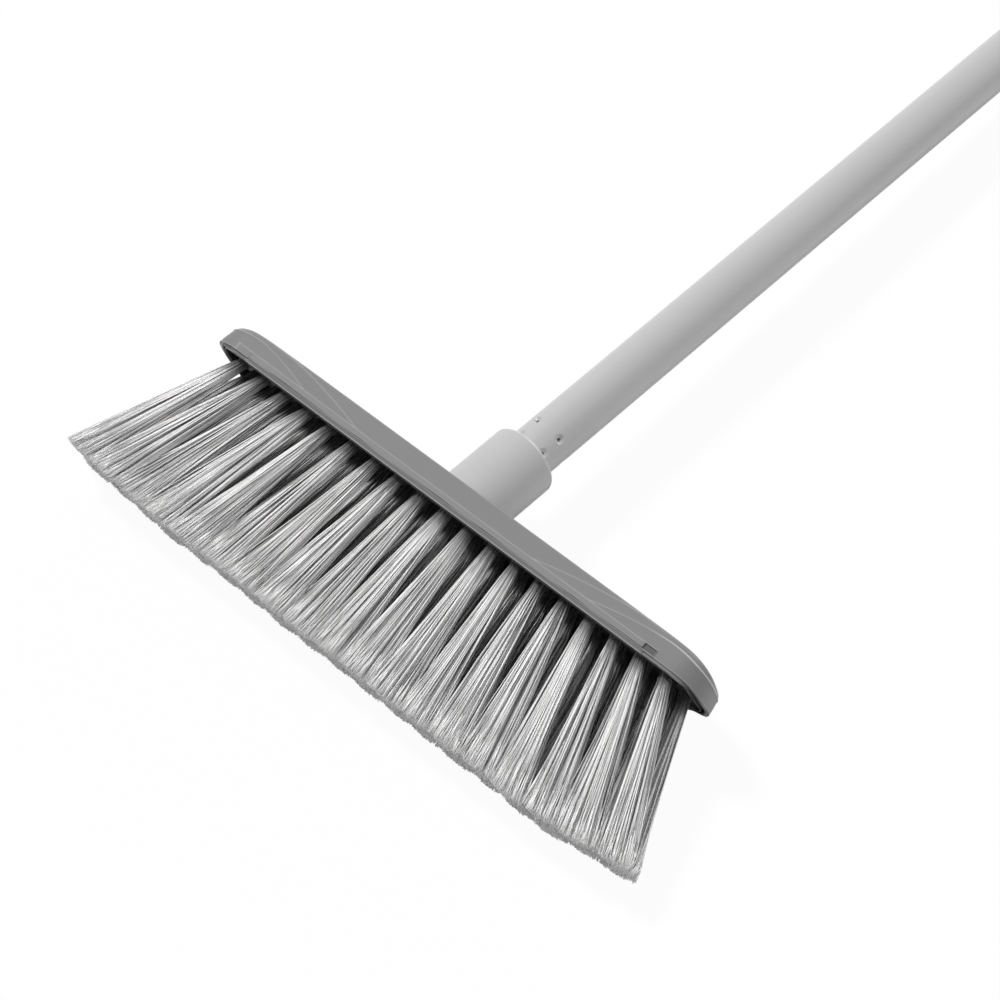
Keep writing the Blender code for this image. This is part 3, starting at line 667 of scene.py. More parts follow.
def bristle_block():
    """Tray, skirt and lip, and on each side the strip in the window, the ledge under the wall,
    whose face slants in to a fine rim, and the plate behind the window's open end. The fine edges
    and the lip's lower edge carry painted highlights, and the tray, skirt, lip and plate painted
    shade, the plate standing in for the shade of the recess behind the window."""
    r, face, back = BAR_ROUND, BAR_FACE, BAR_BACK
    rim, top, high = face - HOLE_EDGE, SHELL_RIM - LEDGE_GAP, STRIP_TOP
    strip = [(back, STRIP_LOW), (face - r, STRIP_LOW), (face, STRIP_LOW + r), (face, high - 0.4),
             (face + 0.04, high - 0.15), (face + 0.04, high), (back, high)]
    ledge = [(back, 0.0), (rim - 0.1, 0.0), (rim, 0.08), (rim, RIM_TOP - 0.08),
             (rim - 0.15, RIM_TOP), (face - r, top - 0.1), (face - 2 * r, top), (back, top)]
    # The plate is a sheet that carries painted shade, in place of the shade of the recess behind
    # the window
    plate = [(back, STRIP_LOW), (RECESS_FACE, STRIP_LOW), (RECESS_FACE, high), (back, high)]
    bars = []
    for side in (-1, 1):
        bars.append(bar(strip, -STRIP_END, -WINDOW[0] + 0.9, side, STRIP_WAVE, STRIP_SLANT))
        bars.append(bar(ledge, -LEDGE_END, -WINDOW[0] - 0.2, side))
        bars.append(bar(plate, -WINDOW[1] - 0.9, -STRIP_END + 1.5, side))
    shape = joined(block_tray(), skirt(), lip(), *bars)
    block = new_mesh("bristle_block_body", shape, HEAD, 35)
    place = np.empty(len(block.data.vertices) * 3)
    block.data.vertices.foreach_get("co", place)
    axes, origin = HEAD
    x, y, z = ((place.reshape(-1, 3) - origin) @ axes.T / MM).T
    out, run = np.abs(y), -np.sign(y) * x
    # Painted highlights: the ledge's fine rim, the strip's top edge and a glint along the lip's
    # lower edge. Painted shade: the tray and underside, the skirt's wall, the lip and the plate in
    # the recess
    low_edge = (out > BAR_FACE - 0.52) & (z < RIM_TOP - 0.02)
    high_edge = (out > BAR_FACE) & (z > STRIP_TOP - 0.2)
    wall = (out < BLOCK_Y + 0.05) & (z < BLOCK_HEIGHT + 0.05)
    on_lip = ~wall & (z < SHELL_RIM) & ((run > LEDGE_END + 0.5) | (run < WINDOW[0] - 0.5))
    glint = on_lip & (np.abs(z - LIP_LOW) < 0.02) & ((run > 120) | (run < WINDOW[0]))
    recess = np.abs(out - RECESS_FACE) < 0.02
    shine = np.maximum(BLOCK_PAINTED_HIGHLIGHT * (low_edge | high_edge), LIP_PAINTED_GLINT * glint)
    shade = np.where(out < BAR_BACK - 0.2, 1, WALL_SHADE * wall)
    shade = np.maximum(recess + on_lip * np.where(run > 0, *LIP_SHADE), shade) * ~glint
    add_values(block.data, "shine", shine)
    add_values(block.data, "shade", shade)
    return block


# Socket collar, mouth ring, tip, tube and cap

GROOVE_HALF = (1.05, 1.42)
GROOVE_CORE = 8.0
GROOVE_SPAN = (19.6, -2.4)
RIDGE_HALF = (0.65, 1.09)
RIDGE_START = (1.2, 3.2)
RIDGE_END = (15.2, 17.2)
THREAD_DEPTH = 1.6
THREAD_STEP = 0.22
RING_SEAT = 28.3
TUBE_BORE = 11.4
BORE_FLOOR = 19.9
SEAT_BEVEL = 0.08
MIDDLE_RADIUS = 0.5
STAKE_GROOVE = ((PLUG_RADIUS, -2.9), (9.3, -2.9), (9.3, 2.9), (PLUG_RADIUS, 2.9))
RING_PROUD = 0.5
RING_ROUND = 0.45
DISH_FLAT = 0.9
DISH_RADIUS = 2.45
DISH_DEPTH = 0.75
PIT_RADIUS = 0.85
PIT_DEPTH = 1.3
# Reach round a dimple, the fine step within it and the coarse step outside, in radians and mm
TURN_STEPS = (0.26, 0.013, 0.075)
RISE_STEPS = (2.9, 0.145, 1.2)
DENSE_END = 50.0
TUBE_EDGE = 0.15
# Half length, flare and where the flare starts and ends on the hanging hole's cutter
HANG_CUTTER = (13.5, 1.4, 9.6, 12.6)


def on_plane(radius, angle, level):
    """Handle height at which a point of that radius and angle meets the head's plane z = level."""
    return (level - SHELL_TOP + radius * np.sin(angle) * math.sin(LEAN)) / math.cos(LEAN)


def thread_rows(core, half, height, fade=1.0):
    """Rows of a thread: its core, and THREAD_DEPTH more along a right-handed helix that climbs LEAD
    a turn, full within half[0] of the helix's line and sloping to nothing at half[1]."""
    height = height[:, None]
    offset = np.abs((height / LEAD - angles() / TURN + 0.5) % 1 - 0.5) * LEAD
    deep = np.clip((half[1] - offset) / (half[1] - half[0]), 0, 1)
    return around(core + THREAD_DEPTH * deep * fade, angles(), height)


def socket_collar():
    """Barrel, mouth, threaded bore and neck as one closed section turned about the handle's axis.
    Its lowest rows lie in planes of the head, which cut it aslant."""
    seat, angle = RING_OUTER + BEVEL, angles()
    mouth = [
        *arc(COLLAR_RADIUS - COLLAR_ROUND, COLLAR_HEIGHT - COLLAR_ROUND, COLLAR_ROUND, 0, 90, 9),
        (seat + BEVEL, COLLAR_HEIGHT), (seat, COLLAR_HEIGHT - BEVEL), (seat, RING_SEAT),
        (TUBE_BORE, RING_SEAT), (TUBE_BORE, BORE_FLOOR + BEVEL), (TUBE_BORE - BEVEL, BORE_FLOOR),
        (GROOVE_CORE + BEVEL, BORE_FLOOR),
    ]
    groove = np.arange(*GROOVE_SPAN, -THREAD_STEP)
    rows = [turned(mouth), thread_rows(GROOVE_CORE, GROOVE_HALF, groove)]
    for radius, level in (
        (GROOVE_CORE, FLANGE_LOW), (NECK_RADIUS, FLANGE_LOW), (NECK_RADIUS, SEAT_PLANE),
        (COLLAR_RADIUS - SEAT_BEVEL, SEAT_PLANE), (COLLAR_RADIUS, SEAT_PLANE + SEAT_BEVEL),
    ):
        rows.append(around(radius, angle, on_plane(radius, angle, level))[None])
    return new_mesh("collar", grid(np.vstack(rows), wrap_rows=True), HANDLE, 30)


def flange():
    """Plate under the shell's top: from the neck out to a rectangle, reached along each angle."""
    angle = angles()
    reach = np.minimum(FLANGE[0] / np.maximum(np.abs(np.cos(angle)), 1e-6),
                       FLANGE[1] / np.maximum(np.abs(np.sin(angle)), 1e-6))
    neck = np.full(len(angle), NECK_RADIUS - 0.1)
    rows = []
    for radius, level in (
        (neck, FLANGE_LOW), (reach - BEVEL, FLANGE_LOW), (reach, FLANGE_LOW + BEVEL),
        (reach, FLANGE_TOP - BEVEL), (reach - BEVEL, FLANGE_TOP), (neck, FLANGE_TOP),
    ):
        row = around(radius, angle, level)
        row[:, 1] += (level - SHELL_TOP) * math.tan(LEAN) * (radius == neck)
        rows.append(row)
    return new_mesh("collar_flange", grid(np.array(rows), wrap_rows=True), HEAD)


def mouth_ring():
    """Bush in the collar's mouth: a closed section with a rounded top, turned about the axis."""
    size = RING_ROUND
    top = COLLAR_HEIGHT + RING_PROUD - size
    profile = [
        (RING_OUTER, COLLAR_HEIGHT - RING_HEIGHT),
        *arc(RING_OUTER - size, top, size, 0, 90, 5),
        *arc(RING_INNER + size, top, size, 90, 180, 5),
        (RING_INNER, COLLAR_HEIGHT - RING_HEIGHT),
    ]
    return new_mesh("mouth_ring_bush", grid(turned(profile), wrap_rows=True), HANDLE)


def threaded_tip():
    """Tip, shoulder and plug: a profile turned about the axis from its low middle to the blind
    bore's floor, with a ridge of THREAD_DEPTH along the helix that fades out at both ends."""
    low = [(MIDDLE_RADIUS, TIP_LOW), (TIP_CORE - 1, TIP_LOW), (TIP_CORE - BEVEL, TIP_LOW + 0.7)]
    height = np.arange(TIP_LOW + 1, SHOULDER_LOW - 0.5, THREAD_STEP)
    fade = step(height - TIP_LOW, *RIDGE_START) * (1 - step(height, *RIDGE_END))
    core = thread_rows(TIP_CORE, RIDGE_HALF, height, fade[:, None])
    edge = TUBE_RADIUS - BEVEL
    high = [
        (TIP_CORE, SHOULDER_LOW - BEVEL), (TIP_CORE + BEVEL, SHOULDER_LOW),
        *arc(edge, SHOULDER_LOW + BEVEL, BEVEL, -90, 0, 3),
        *arc(edge, SHOULDER_TOP - BEVEL, BEVEL, 0, 90, 3), (PLUG_RADIUS, SHOULDER_TOP),
        *[(radius, middle + rise) for middle in DIMPLE_HEIGHTS for radius, rise in STAKE_GROOVE],
        (PLUG_RADIUS, PLUG_TOP - 0.5), (PLUG_RADIUS - 0.5, PLUG_TOP),
        (PLUG_BORE + BEVEL, PLUG_TOP), (PLUG_BORE, PLUG_TOP - BEVEL),
        (PLUG_BORE, SHOULDER_TOP + BEVEL), (PLUG_BORE - BEVEL, SHOULDER_TOP),
        (MIDDLE_RADIUS, SHOULDER_TOP),
    ]
    rows = np.vstack([turned(low), core, turned(high)])
    return new_mesh("tip", grid(rows, caps=(True, True)), HANDLE, 30)


def fine_near(marks, low, high, reach, fine, coarse):
    """Sorted stations from low to high: coarse apart, and fine apart within reach of each mark."""
    stations = [np.arange(low, high, coarse), [high]]
    for mark in marks:
        stations[0] = stations[0][np.abs(stations[0] - mark) > reach]
        stations.append(np.arange(mark - reach, mark + reach + fine / 2, fine))
    return np.unique(np.round(np.concatenate(stations), 5))


def dimple_depth(angle, height):
    """Depth of the staked dimples: a dish with a rounded rim and a small pit in its middle."""
    spacing = TURN / DIMPLE_COLUMNS
    turn = (angle - DIMPLE_TURN + spacing / 2) % spacing - spacing / 2
    rise = np.min([np.abs(height - middle) for middle in DIMPLE_HEIGHTS], axis=0)
    reach = np.hypot(turn * TUBE_RADIUS, rise)
    dish = DISH_DEPTH * (1 - step(reach, DISH_FLAT, DISH_RADIUS))
    pit = 1 - step(reach, 0.5 * PIT_RADIUS, PIT_RADIUS)
    return dish + PIT_DEPTH * pit, pit


def handle_tube():
    """Thin tube: rows up the outside and down the inside, closed over both ends. The dimples press
    both skins inwards by dimple_depth. Stations crowd round the dimples."""
    spacing = TURN / DIMPLE_COLUMNS
    local = fine_near([spacing / 2], 0, spacing, *TURN_STEPS)[:-1]
    sectors = np.arange(DIMPLE_COLUMNS)[:, None] * spacing
    angle = (sectors + local - spacing / 2 + DIMPLE_TURN).ravel()
    near = fine_near(DIMPLE_HEIGHTS, TUBE_START, DENSE_END, *RISE_STEPS)
    height = np.concatenate([near, np.linspace(DENSE_END, TUBE_END, 24)[1:]])
    depth, pit = dimple_depth(angle, height[:, None])
    edge = np.zeros(len(height))
    edge[[0, -1]] = TUBE_EDGE
    outer = TUBE_RADIUS - depth - edge[:, None]
    inner = TUBE_RADIUS - TUBE_WALL - np.minimum(depth, DISH_DEPTH)
    radius = np.vstack([outer, inner[::-1]])
    z = np.concatenate([height, height[::-1]])[:, None]
    tube = new_mesh("tube", grid(around(radius, angle, z), wrap_rows=True), HANDLE, 50)
    add_values(tube.data, "pit", np.vstack([pit, pit[::-1]]).ravel())
    return tube


def end_cap():
    """Cap and its plug turned about the axis, with a cross hole whose edges flare out."""
    low, top = CAP_FOOT - CAP_PLUG_LENGTH, CAP_END - CAP_ROUND
    profile = [
        (PLUG_RADIUS - 1, low), (PLUG_RADIUS, low + 1), (PLUG_RADIUS, CAP_FOOT),
        *arc(CAP_RADIUS - CAP_EDGE, CAP_FOOT + CAP_EDGE, CAP_EDGE, -90, 0, 4),
        *[(CAP_RADIUS, z) for z in np.arange(CAP_FOOT + 3, top, 1.0)],
        *arc(CAP_RADIUS - CAP_ROUND, top, CAP_ROUND, 0, 90, 14), (2.0, CAP_END),
    ]
    cap = new_mesh("cap", grid(turned(profile, 160), caps=(True, True)), HANDLE, 32)
    half, flare, *edges = HANG_CUTTER
    reach = np.linspace(-half, half, 61)
    radius = HANG_RADIUS + flare * step(np.abs(reach), *edges) ** 1.5
    x, y, z = np.moveaxis(turned(np.stack([radius, reach], -1), 72), -1, 0)
    spool = np.stack([z, x, y + CAP_END - HANG_DROP], -1)
    cut(cap, new_mesh("hang_cutter", grid(spool, caps=(True, True)), HANDLE), 32)
    return cap


# Tufts

FILAMENTS = 200
SIDES = 4
FILAMENT_RADIUS = 0.25
FLAG_RADIUS = 0.19
FLAG_START = (0.78, 0.95)
FLAGS = 2
ROOT_HEIGHT = 4.4
STEM_RINGS = 6
FLAG_RINGS = 3
SPREAD_X = 8.7
END_SPREAD_X = 7.0
SPREAD_Y = 3.6
FLARE = 0.82
HIDDEN_FLARE = 0.5
STRAY_SHARE = 0.07
LEFT_RISE = 2.2
RIGHT_RISE = 5.2
LOCK_SHARE = 0.4
FRONT_REACH = 2.6
FRONT_LENGTH = 0.9
TIP_CROWN = 0.6
# Painted shade of the middle row: its tones are raised towards the darkest, for the front row's
# shadow
MIDDLE_ROW_PAINTED_SHADE = 0.6
BOX_X = 154.3
FLOOR_GAP = 0.3
STRETCH = (0.72, 0.32)
STRAY_REACH = (1.1, 1.7)
STRAY_SHAPE = (1, 0.7)
LOCK_SIZE = 9
LOCK_PULL = 0.25
LOCK_POWER = 1.2
WILD_SHARE = 0.1
WAVE_SIZE = (0.5, 0.12)
WAVE_BEAT = (0.6, 1.4)
WAVE_POWER = 1.4
RAGGED = (0.9, 0.22)
STEM_SIZE = (0.8, 1.15)
STEM_END = 0.7
STEM_PAST = 0.02
FLAG_SIZE = (1.2, 0.85)
FLAG_FAN = 0.35
FAN_POWER = 1.3
FLAG_LIFT = 0.6


def tuft_lines(number):
    """Root, tip, tip spread along x, flare and painted shade of each tuft of a column; an end
    column has one tuft more. The painted shade darkens the middle row, as the front row's shadow.
    The front tufts lean out by FRONT_REACH towards the left end."""
    place = number - LAST_PLACE
    lines = []
    for line in (-1, 0, 1):
        pitch = TIP_PITCH if line else MIDDLE_TIP_PITCH
        reach = FRONT_REACH * step(-place, 5, 9) * (line < 0)
        tip = (place * pitch, line * TIP_ROW_PITCH - reach)
        flare = FLARE if line < 0 else HIDDEN_FLARE
        row_painted_shade = 0 if line else MIDDLE_ROW_PAINTED_SHADE
        lines.append(((place * COLUMN_PITCH, line * ROW_PITCH), tip, SPREAD_X, flare, row_painted_shade))
    if abs(place) == LAST_PLACE:
        side = math.copysign(1, place)
        lines.append(((side * END_TUFT, 0), (side * END_TIP, 0), END_SPREAD_X, 1.0, 0))
    return lines


def tip_rise(x):
    """How much higher the tips lie near both ends than along the middle, most on the right."""
    run = np.maximum(np.abs(x) - (END_TIP - END_RISE_RUN), 0) / END_RISE_RUN
    return np.where(x > 0, RIGHT_RISE, LEFT_RISE) * run**END_RISE_POWER


def disc(rng, count):
    """Random places in the unit disc, evenly spread: radius is the root of an even share."""
    reach = np.sqrt((np.arange(count) + rng.random(count)) / count)
    turn = rng.random(count) * TURN
    return np.stack([reach * np.cos(turn), reach * np.sin(turn)], -1)


def filament_course(rng, line, count):
    """The middles of one tuft's filaments, as a function of t from 0 at the root to 1 at the tip,
    and their tones. A filament runs from its place in the root disc to its place in the tip disc,
    which opens as t to the power flare. Halfway it is drawn towards the nearest of a few leaders,
    and a slow wave grows towards the tip. A few strays lean out. The length falls by tip_rise, by
    the square of the place across the tuft and at random, and is FRONT_LENGTH more in front.
    LOCK_SHARE of the filaments take their leader's tone, and the row's painted shade raises all
    tones, which renders them darker."""
    root, tip, spread, flare, row_painted_shade = line
    unit = disc(rng, count)
    stretch = STRETCH[0] * unit + STRETCH[1] * rng.normal(size=(count, 2))
    size = np.linalg.norm(stretch, axis=1, keepdims=True)
    stretch = stretch / np.maximum(size, 1)
    stray = rng.random(count) < STRAY_SHARE
    stretch[stray] *= rng.uniform(*STRAY_REACH, (stray.sum(), 1)) * STRAY_SHAPE
    tip_off = stretch * (spread, SPREAD_Y)
    tip_at = np.array(tip) + tip_off
    leaders = tip_at[rng.integers(0, count, max(count // LOCK_SIZE, 2))]
    near = np.linalg.norm(tip_at[:, None] - leaders, axis=-1).argmin(1)
    pull = leaders[near] - tip_at
    wave = rng.normal(size=(count, 2))
    wave = wave * np.where(rng.random((count, 1)) < WILD_SHARE, *WAVE_SIZE)
    beat = rng.uniform(*WAVE_BEAT, (count, 1))
    phase = rng.random((count, 1)) * TURN
    length = BRISTLE_LENGTH - tip_rise(tip_at[:, 0]) - rng.uniform(0, RAGGED[0])
    length = length - np.abs(rng.normal(size=count)) * RAGGED[1]
    length = length - TIP_CROWN * np.minimum(stretch[:, 0] ** 2, 1) + FRONT_LENGTH * (tip[1] < 0)
    in_lock = rng.random(count) < LOCK_SHARE
    tones = np.where(in_lock, rng.random(len(leaders))[near], rng.random(count))
    # Painted shade: the row's raised tones render darker
    tones = row_painted_shade + (1 - row_painted_shade) * tones

    def course(t):
        """Root to tip in a straight line, plus the offsets that filament_course tells of."""
        t = t[..., None]
        swing = np.sin(TURN * beat[:, None] * t + phase[:, None]) - np.sin(phase[:, None])
        flat = np.array(root) * (1 - t) + np.array(tip) * t
        flat = flat + TUFT_RADIUS * unit[:, None] * (1 - t) + tip_off[:, None] * t**flare
        flat = flat + LOCK_PULL * np.sin(math.pi * t**LOCK_POWER) * pull[:, None]
        flat = flat + wave[:, None] * t**WAVE_POWER * swing
        height = ROOT_HEIGHT - (ROOT_HEIGHT + length[:, None]) * t[..., 0]
        return np.concatenate([flat, height[..., None]], -1)

    return course, tones


def strands(paths, radii, turn):
    """Closed thin prisms along many paths: each ring lies level round its path's point."""
    count, rings = paths.shape[:2]
    ring = around(1, turn[:, None, None] + angles(SIDES), 0)
    points = paths[:, :, None] + radii[..., None, None] * ring
    index = np.arange(count * rings * SIDES).reshape(count, rings, SIDES)
    low, high = index[:, 1:], index[:, :-1]
    quads = np.stack([low, np.roll(low, -1, 2), np.roll(high, -1, 2), high], -1).reshape(-1, 4)
    return points.reshape(-1, 3), [quads, index[:, -1, ::-1], index[:, 0]]


def tuft_column(number):
    """All filaments of one column of tufts: stems, and FLAGS finer ends that spread from each,
    from a height of its own."""
    rng = np.random.default_rng(SEED + number)
    parts, values = [], []
    rings = np.linspace(0, 1, FLAG_RINGS)
    for line in tuft_lines(number):
        course, shade = filament_course(rng, line, FILAMENTS)
        start = rng.uniform(*FLAG_START, (FILAMENTS, 1))
        stem_t = (start + STEM_PAST) * np.linspace(0, 1, STEM_RINGS)
        flag_t = start + (1 - start) * rings
        stems = course(stem_t)
        spin = rng.random(FILAMENTS) * TURN
        radii = FILAMENT_RADIUS * rng.uniform(*STEM_SIZE, (FILAMENTS, 1)) * np.ones(STEM_RINGS)
        radii[:, -1] *= STEM_END
        ends = np.repeat(course(flag_t), FLAGS, 0)
        fan = rng.normal(size=(len(ends), 1, 2)) * FLAG_FAN
        ends[..., :2] += fan * rings[None, :, None] ** FAN_POWER
        ends[..., 2] += (rng.random((len(ends), 1)) * FLAG_LIFT) * rings
        thin = FLAG_RADIUS * np.linspace(*FLAG_SIZE, FLAG_RINGS) * np.ones((len(ends), 1))
        flags = (np.repeat(each, FLAGS, 0) for each in (flag_t, shade, spin))
        for paths, sizes, t, tones, spins in (
            (stems, radii, stem_t, shade, spin), (ends, thin, *flags),
        ):
            count, points = len(tones), paths.shape[1] * SIDES
            place = len(parts) + (np.arange(count) + 0.5) / count
            parts.append(strands(within_box(paths), sizes, spins))
            values.append((np.repeat(t, SIDES), np.repeat(tones, points), np.repeat(place, points)))
    along, tone, place = (np.concatenate(column) for column in zip(*values))
    piece = new_mesh(f"tufts_{number + 1:02d}", joined(*parts), HEAD, 180)
    add_values(piece.data, "along", along)
    add_values(piece.data, "tone", tone)
    lay_filament_map(piece.data, place / len(parts), along)
    return piece


def lay_filament_map(mesh, across, along):
    """UV map OFBake: u is the filament's place in the list, and v runs along it."""
    corner = np.empty(len(mesh.loops), np.int32)
    mesh.loops.foreach_get("vertex_index", corner)
    side = (corner % SIDES) / SIDES * 2e-4
    uv = np.stack([across[corner] + side, 0.01 + 0.98 * along[corner]], -1)
    layer = mesh.uv_layers.new(name="OFBake")
    layer.data.foreach_set("uv", uv.astype(np.float32).ravel())


def within_box(paths):
    """Keeps filaments inside the broom's width and length, and above the floor."""
    paths = paths.copy()
    limit = BOX_X - FILAMENT_RADIUS
    paths[..., 0] = np.clip(paths[..., 0], -limit, limit)
    axes, origin = HEAD
    floor_height = origin[2] / MM + paths @ axes[:, 2]
    sunk = np.maximum(FLOOR_GAP - floor_height, 0)
    paths[..., 1] += sunk / axes[1, 2]
    over = CAD_BOX[0][1] / MM + 0.2 - origin[1] / MM - paths @ axes[:, 1]
    paths[..., 2] += np.maximum(over, 0) / axes[2, 1]
    return paths


# Finishes

class Value:
    """A number or colour socket that takes part in sums: each operator adds its Math node."""

    def __init__(self, nodes, socket):
        self.nodes, self.socket = nodes, socket

    def math(self, operation, other):
        """This socket and another number or socket, brought together by one operation."""
        return self.nodes.node("Math", {"operation": operation}, {0: self, 1: other})

    __add__ = __radd__ = partialmethod(math, "ADD")
    __sub__ = partialmethod(math, "SUBTRACT")
    __mul__ = __rmul__ = partialmethod(math, "MULTIPLY")


class Nodes:
    """The node tree of a material or a world."""

    def __init__(self, owner):
        owner.use_nodes = True
        self.tree = owner.node_tree

    def node(self, kind, settings, inputs, output=0):
        """Adds a node, sets it, then feeds its sockets with values or other nodes' sockets."""
        made = self.tree.nodes.new("ShaderNode" + kind)
        for label, value in settings.items():
            if label == "stops":
                ramp = made.color_ramp
                while len(ramp.elements) < len(value):
                    ramp.elements.new(0.5)
                for element, (at, shade) in zip(ramp.elements, value):
                    element.position = at
                    element.color = (shade, shade, shade, 1)
            else:
                setattr(made, label, value)
        self.feed(made, inputs)
        return Value(self, made.outputs[output])

    def feed(self, made, inputs):
        """Links each input to its socket, or sets it to its value."""
        for label, value in inputs.items():
            if isinstance(value, Value):
                self.tree.links.new(value.socket, made.inputs[label])
            else:
                made.inputs[label].default_value = value


class Finish(Nodes):
    """A material on a Principled shader. Its sockets are named with _ for a space."""

    def __init__(self, name, **constants):
        self.material = bpy.data.materials.new(name)
        super().__init__(self.material)
        self.shader = self.tree.nodes["Principled BSDF"]
        self.place = self.node("TexCoord", {}, {}, "Object")
        self.done(**constants)

    def noise(self, scale, detail=2.0, rough=0.5, stretch=None):
        """Noise of so many cells a metre, from 0 to 1, drawn out along an axis by stretch."""
        place = self.place
        if stretch:
            place = self.node("Mapping", {}, {"Vector": place, "Scale": stretch})
        inputs = {"Vector": place, "Scale": scale, "Detail": detail, "Roughness": rough}
        return self.node("TexNoise", {}, inputs)

    def attribute(self, label):
        """The number that add_values gave each point."""
        return self.node("Attribute", {"attribute_name": label}, {}, "Fac")

    def mix(self, factor, first, second):
        """Colour between two colours."""
        return self.node("Mix", {"data_type": "RGBA"}, {0: factor, 6: first, 7: second}, 2)

    def ramp(self, factor, *stops):
        """Grey level along straight lines between stops of (factor, level)."""
        return self.node("ValToRGB", {"stops": stops}, {"Fac": factor})

    def bump(self, height, distance):
        """Normal raised by a height of 0 to 1 times the distance in millimetres."""
        return self.node("Bump", {}, {"Height": height, "Distance": distance * MM})

    def done(self, **inputs):
        """Feeds the shader, and gives the material back."""
        self.feed(self.shader, {label.replace("_", " "): value for label, value in inputs.items()})
        return self.material


def grey(level, warmth=0.0):
    """A grey, warmer by that share more red and less blue."""
    return (level * (1 + warmth), level, level * (1 - warmth), 1)


def moulded_plastic(name, level, roughness, shine=0.0, shade=0.0):
    """Satin moulded plastic: spark-eroded grain, slow flow marks in tone, a slightly uneven gloss,
    and, where the mesh's own values say so, a painted highlight on edges and painted shade in
    hollows."""
    finish = Finish(name, IOR=1.46, Specular_IOR_Level=0.35)
    cloud = finish.noise(28, 3.0, 0.55)
    flow = finish.noise(60, stretch=(0.25, 1, 1))
    grain = finish.noise(2600, rough=0.6)
    fine = finish.noise(8060, 1.0)
    tone = cloud * 0.5 + flow * 0.3 + grain * 0.2
    colour = finish.mix(tone, grey(level * 0.93), grey(level * 1.07))
    # Painted highlight and painted shade, as far as the mesh's values say
    if shine:
        colour = finish.mix(finish.attribute("shine") * shine, colour, grey(level * 3))
    if shade:
        colour = finish.mix(finish.attribute("shade") * shade, colour, grey(level * 0.2))
    gloss = roughness - 0.05 + cloud * 0.06 + fine * 0.05
    surface = finish.bump(grain * 0.7 + fine * 0.3, 0.012)
    return finish.done(Base_Color=colour, Roughness=gloss, Normal=surface)


def tube_paint():
    """Satin paint on drawn steel: faint orange peel, long draw streaks and fine dust specks."""
    finish = Finish(
        "satin_paint", IOR=1.5, Specular_IOR_Level=0.4, Coat_Weight=0.12, Coat_Roughness=0.28)
    streak = finish.noise(420, rough=0.6, stretch=(1, 0.012, 1))
    peel = finish.noise(650)
    cloud = finish.noise(14)
    speck = finish.ramp(finish.noise(1900, 1.0), (0, 0), (0.7, 0), (0.78, 1))
    tone = streak * 0.55 + cloud * 0.45
    colour = finish.mix(tone, grey(0.42), grey(0.475))
    colour = finish.mix(speck * 0.25, colour, grey(0.36))
    # Painted shade: the dimples' pits are painted near black, for the dark of the holes
    colour = finish.mix(finish.attribute("pit"), colour, grey(0.02))
    gloss = 0.33 + streak * 0.07 + peel * 0.06
    surface = finish.bump(peel * 0.8 + streak * 0.2, 0.02)
    return finish.done(Base_Color=colour, Roughness=gloss, Normal=surface)


def bristle_fibre():
    """Extruded filaments: each has its own tone, whose darkest values are partly painted shade for
    the shadowed gaps between them; painted shade darkens them near the root, and painted light
    makes them palest at the split ends."""
    finish = Finish(
        "bristle_filament", IOR=1.5, Specular_IOR_Level=1.0, Sheen_Weight=1.0, Sheen_Roughness=0.35)
    along = finish.attribute("along")
    tone = finish.attribute("tone")
    # Painted shade near the root, where the shell's rim and the other tufts shade the roots
    level = finish.ramp(
        along, (0, 0.03), (0.06, 0.07), (0.11, 0.2), (0.17, 0.6), (0.24, 0.95), (0.3, 1))
    streak = finish.noise(900, rough=0.6)
    # Partly the filaments' own random tone, partly painted shade: the darkest tones stand for the
    # shadowed gaps between filaments
    shade = finish.ramp(tone, (0, 1), (0.62, 0.98), (0.76, 0.4), (0.9, 0.1), (1, 0.02))
    # Painted light: towards the split ends the tones lift to the palest, for the light that the
    # frayed ends catch
    painted_tip_light = finish.ramp(
        along, (0, 0), (0.5, 0), (0.75, 0.45), (0.9, 0.9), (0.985, 0.95), (1, 0.5))
    shade = shade + (1 + shade * -1) * painted_tip_light - streak * 0.06
    colour = finish.mix(level * shade, grey(0.01), grey(0.99, 0.004))
    surface = finish.bump(streak, 0.01)
    return finish.done(Base_Color=colour, Roughness=0.3 + tone * 0.12, Normal=surface)


# Stage

FLOOR_HALF = 4.0
FLOOR_GREY = 0.88
FLOOR_LIFT = 0.95
SKY_STRENGTH = 0.29
# Strength, spread in degrees and direction of each lamp
LAMPS = {
    "key": (2.65, 10, (-0.55, 0.04, 0.83)),
    "fill": (1.0, 40, (0.97, 0.15, 0.1)),
    "rim": (1.5, 20, (-0.1, 0.98, 0.15)),
}


def lay_floor():
    """A plain pale floor. Seen directly it is lifted towards white, and its shadow stays."""
    x = np.linspace(-FLOOR_HALF, FLOOR_HALF, 3)
    points = np.stack([*np.meshgrid(x, x), np.zeros((3, 3))], -1)
    identity = (np.eye(3) / MM, np.zeros(3))
    floor = new_mesh("floor", grid(points, wrap_columns=False), identity)
    finish = Finish("studio_floor", Roughness=0.9, Specular_IOR_Level=0.0)
    finish.done(Base_Color=grey(FLOOR_GREY))
    plain = Value(finish, finish.shader.outputs[0])
    lift = finish.node("Emission", {}, {"Color": grey(1.0), "Strength": 1.0})
    seen = finish.node("LightPath", {}, {}, "Is Camera Ray")
    mixed = finish.node("MixShader", {}, {0: seen * FLOOR_LIFT, 1: plain, 2: lift})
    finish.feed(finish.tree.nodes["Material Output"], {"Surface": mixed})
    floor.data.materials.append(finish.material)


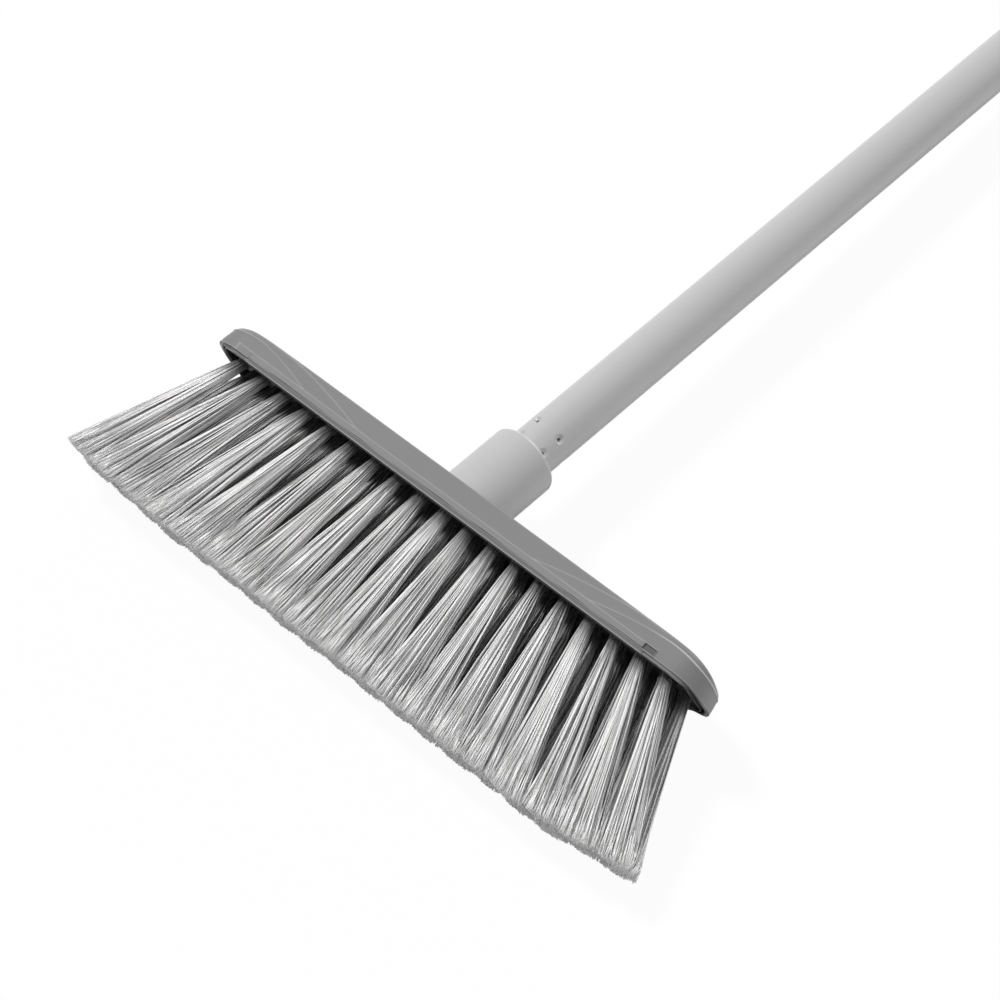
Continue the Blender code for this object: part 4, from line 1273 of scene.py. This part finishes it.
def light_studio():
    """A sun from the upper left of the camera, a low fill from its right, a low rim light along the
    handle, and an even sky that looks white."""
    for name, (strength, spread, place) in LAMPS.items():
        sun = bpy.data.lights.new(name, "SUN")
        sun.energy = strength
        sun.angle = math.radians(spread)
        lamp = linked(name, sun)
        lamp.rotation_mode = "QUATERNION"
        lamp.rotation_quaternion = Vector(place).to_track_quat("Z", "Y")
    world = bpy.data.worlds.new("studio")
    bpy.context.scene.world = world
    sky = Nodes(world)
    camera, glossy, through = (
        sky.node("LightPath", {}, {}, label)
        for label in ("Is Camera Ray", "Is Glossy Ray", "Is Transmission Ray")
    )
    seen = camera.math("MAXIMUM", glossy).math("MAXIMUM", through)
    level = sky.node("MapRange", {}, {"Value": seen, "To Min": SKY_STRENGTH, "To Max": 1.0})
    sky.feed(sky.tree.nodes["Background"], {"Color": grey(1.0), "Strength": level})


# Azimuth, elevation and roll in degrees
CAMERA_TURNS = (26.212, -12.105, 42.053)
CAMERA_DISTANCE = 1189.9
CAMERA_AIM = (-19.46, -10.54)
CAMERA_LENS = 106.23


def set_camera():
    """The photo's camera, given in the head's frame: it looks along -back, rolled about that line,
    and the head's origin falls CAMERA_AIM off the picture's middle."""
    a, e, r = map(math.radians, CAMERA_TURNS)
    back = np.array((math.sin(a) * math.cos(e), -math.cos(a) * math.cos(e), math.sin(e)))
    side = np.array((math.cos(a), math.sin(a), 0))
    up = np.cross(back, side)
    right = math.cos(r) * side + math.sin(r) * up
    over = math.cos(r) * up - math.sin(r) * side
    at = CAMERA_DISTANCE * back - CAMERA_AIM[0] * right - CAMERA_AIM[1] * over
    camera = bpy.data.cameras.new("camera")
    camera.lens = CAMERA_LENS
    holder = linked("camera", camera)
    turn = Matrix((np.array((right, over, back)) @ HEAD[0]).T.tolist())
    holder.matrix_world = Matrix.Translation(placed(at, HEAD)) @ turn.to_4x4()
    camera.clip_start = 0.01
    camera.clip_end = 50
    bpy.context.scene.camera = holder


# Slot, look, grey level, roughness, and how far the painted highlight and the painted shade act
PLASTICS = (
    ("shell_plastic", "satin", 0.19, 0.56, 0.7, 0.75),
    ("block_plastic", "satin", 0.2, 0.52, 0.7, 0.85),
    ("collar_plastic", "satin", 0.455, 0.42),
    # The bush's pale grey is partly its own and partly a painted highlight for the bright line at
    # the collar's mouth
    ("ring_plastic", "pale", 0.72, 0.38),
    ("tip_plastic", "satin", 0.3, 0.45),
    ("cap_plastic", "satin", 0.255, 0.46),
)


def dress_broom():
    """Makes every piece and gives it the finish of its slot and its body, and hides the node that
    it replaces.
    """
    finishes = {"tube_paint": tube_paint(), "bristle_fibre": bristle_fibre()}
    for slot, look, *values in PLASTICS:
        finishes[slot] = moulded_plastic(f"{slot}_{look}", *values)
    pieces = [
        (head_shell(), "shell_plastic", "head", "head_shell"),
        (bristle_block(), "block_plastic", "head", "bristle_block"),
        (socket_collar(), "collar_plastic", "head", "socket_collar"),
        (flange(), "collar_plastic", "head"),
        (mouth_ring(), "ring_plastic", "ring", "mouth_ring"),
        (handle_tube(), "tube_paint", "handle", "handle_tube"),
        (threaded_tip(), "tip_plastic", "handle", "threaded_tip"),
        (end_cap(), "cap_plastic", "handle", "end_cap"),
    ]
    for number in range(COLUMNS):
        node = f"tuft_column_{number + 1:02d}"
        pieces.append((tuft_column(number), "bristle_fibre", "head", node))
    for piece, slot, body, *nodes in pieces:
        piece.data.materials.clear()
        piece.data.materials.append(finishes[slot])
        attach(piece, body)
        if nodes:
            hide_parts(*nodes)


dress_broom()
lay_floor()
light_studio()
set_camera()
bpy.context.scene.view_settings.view_transform = "Standard"
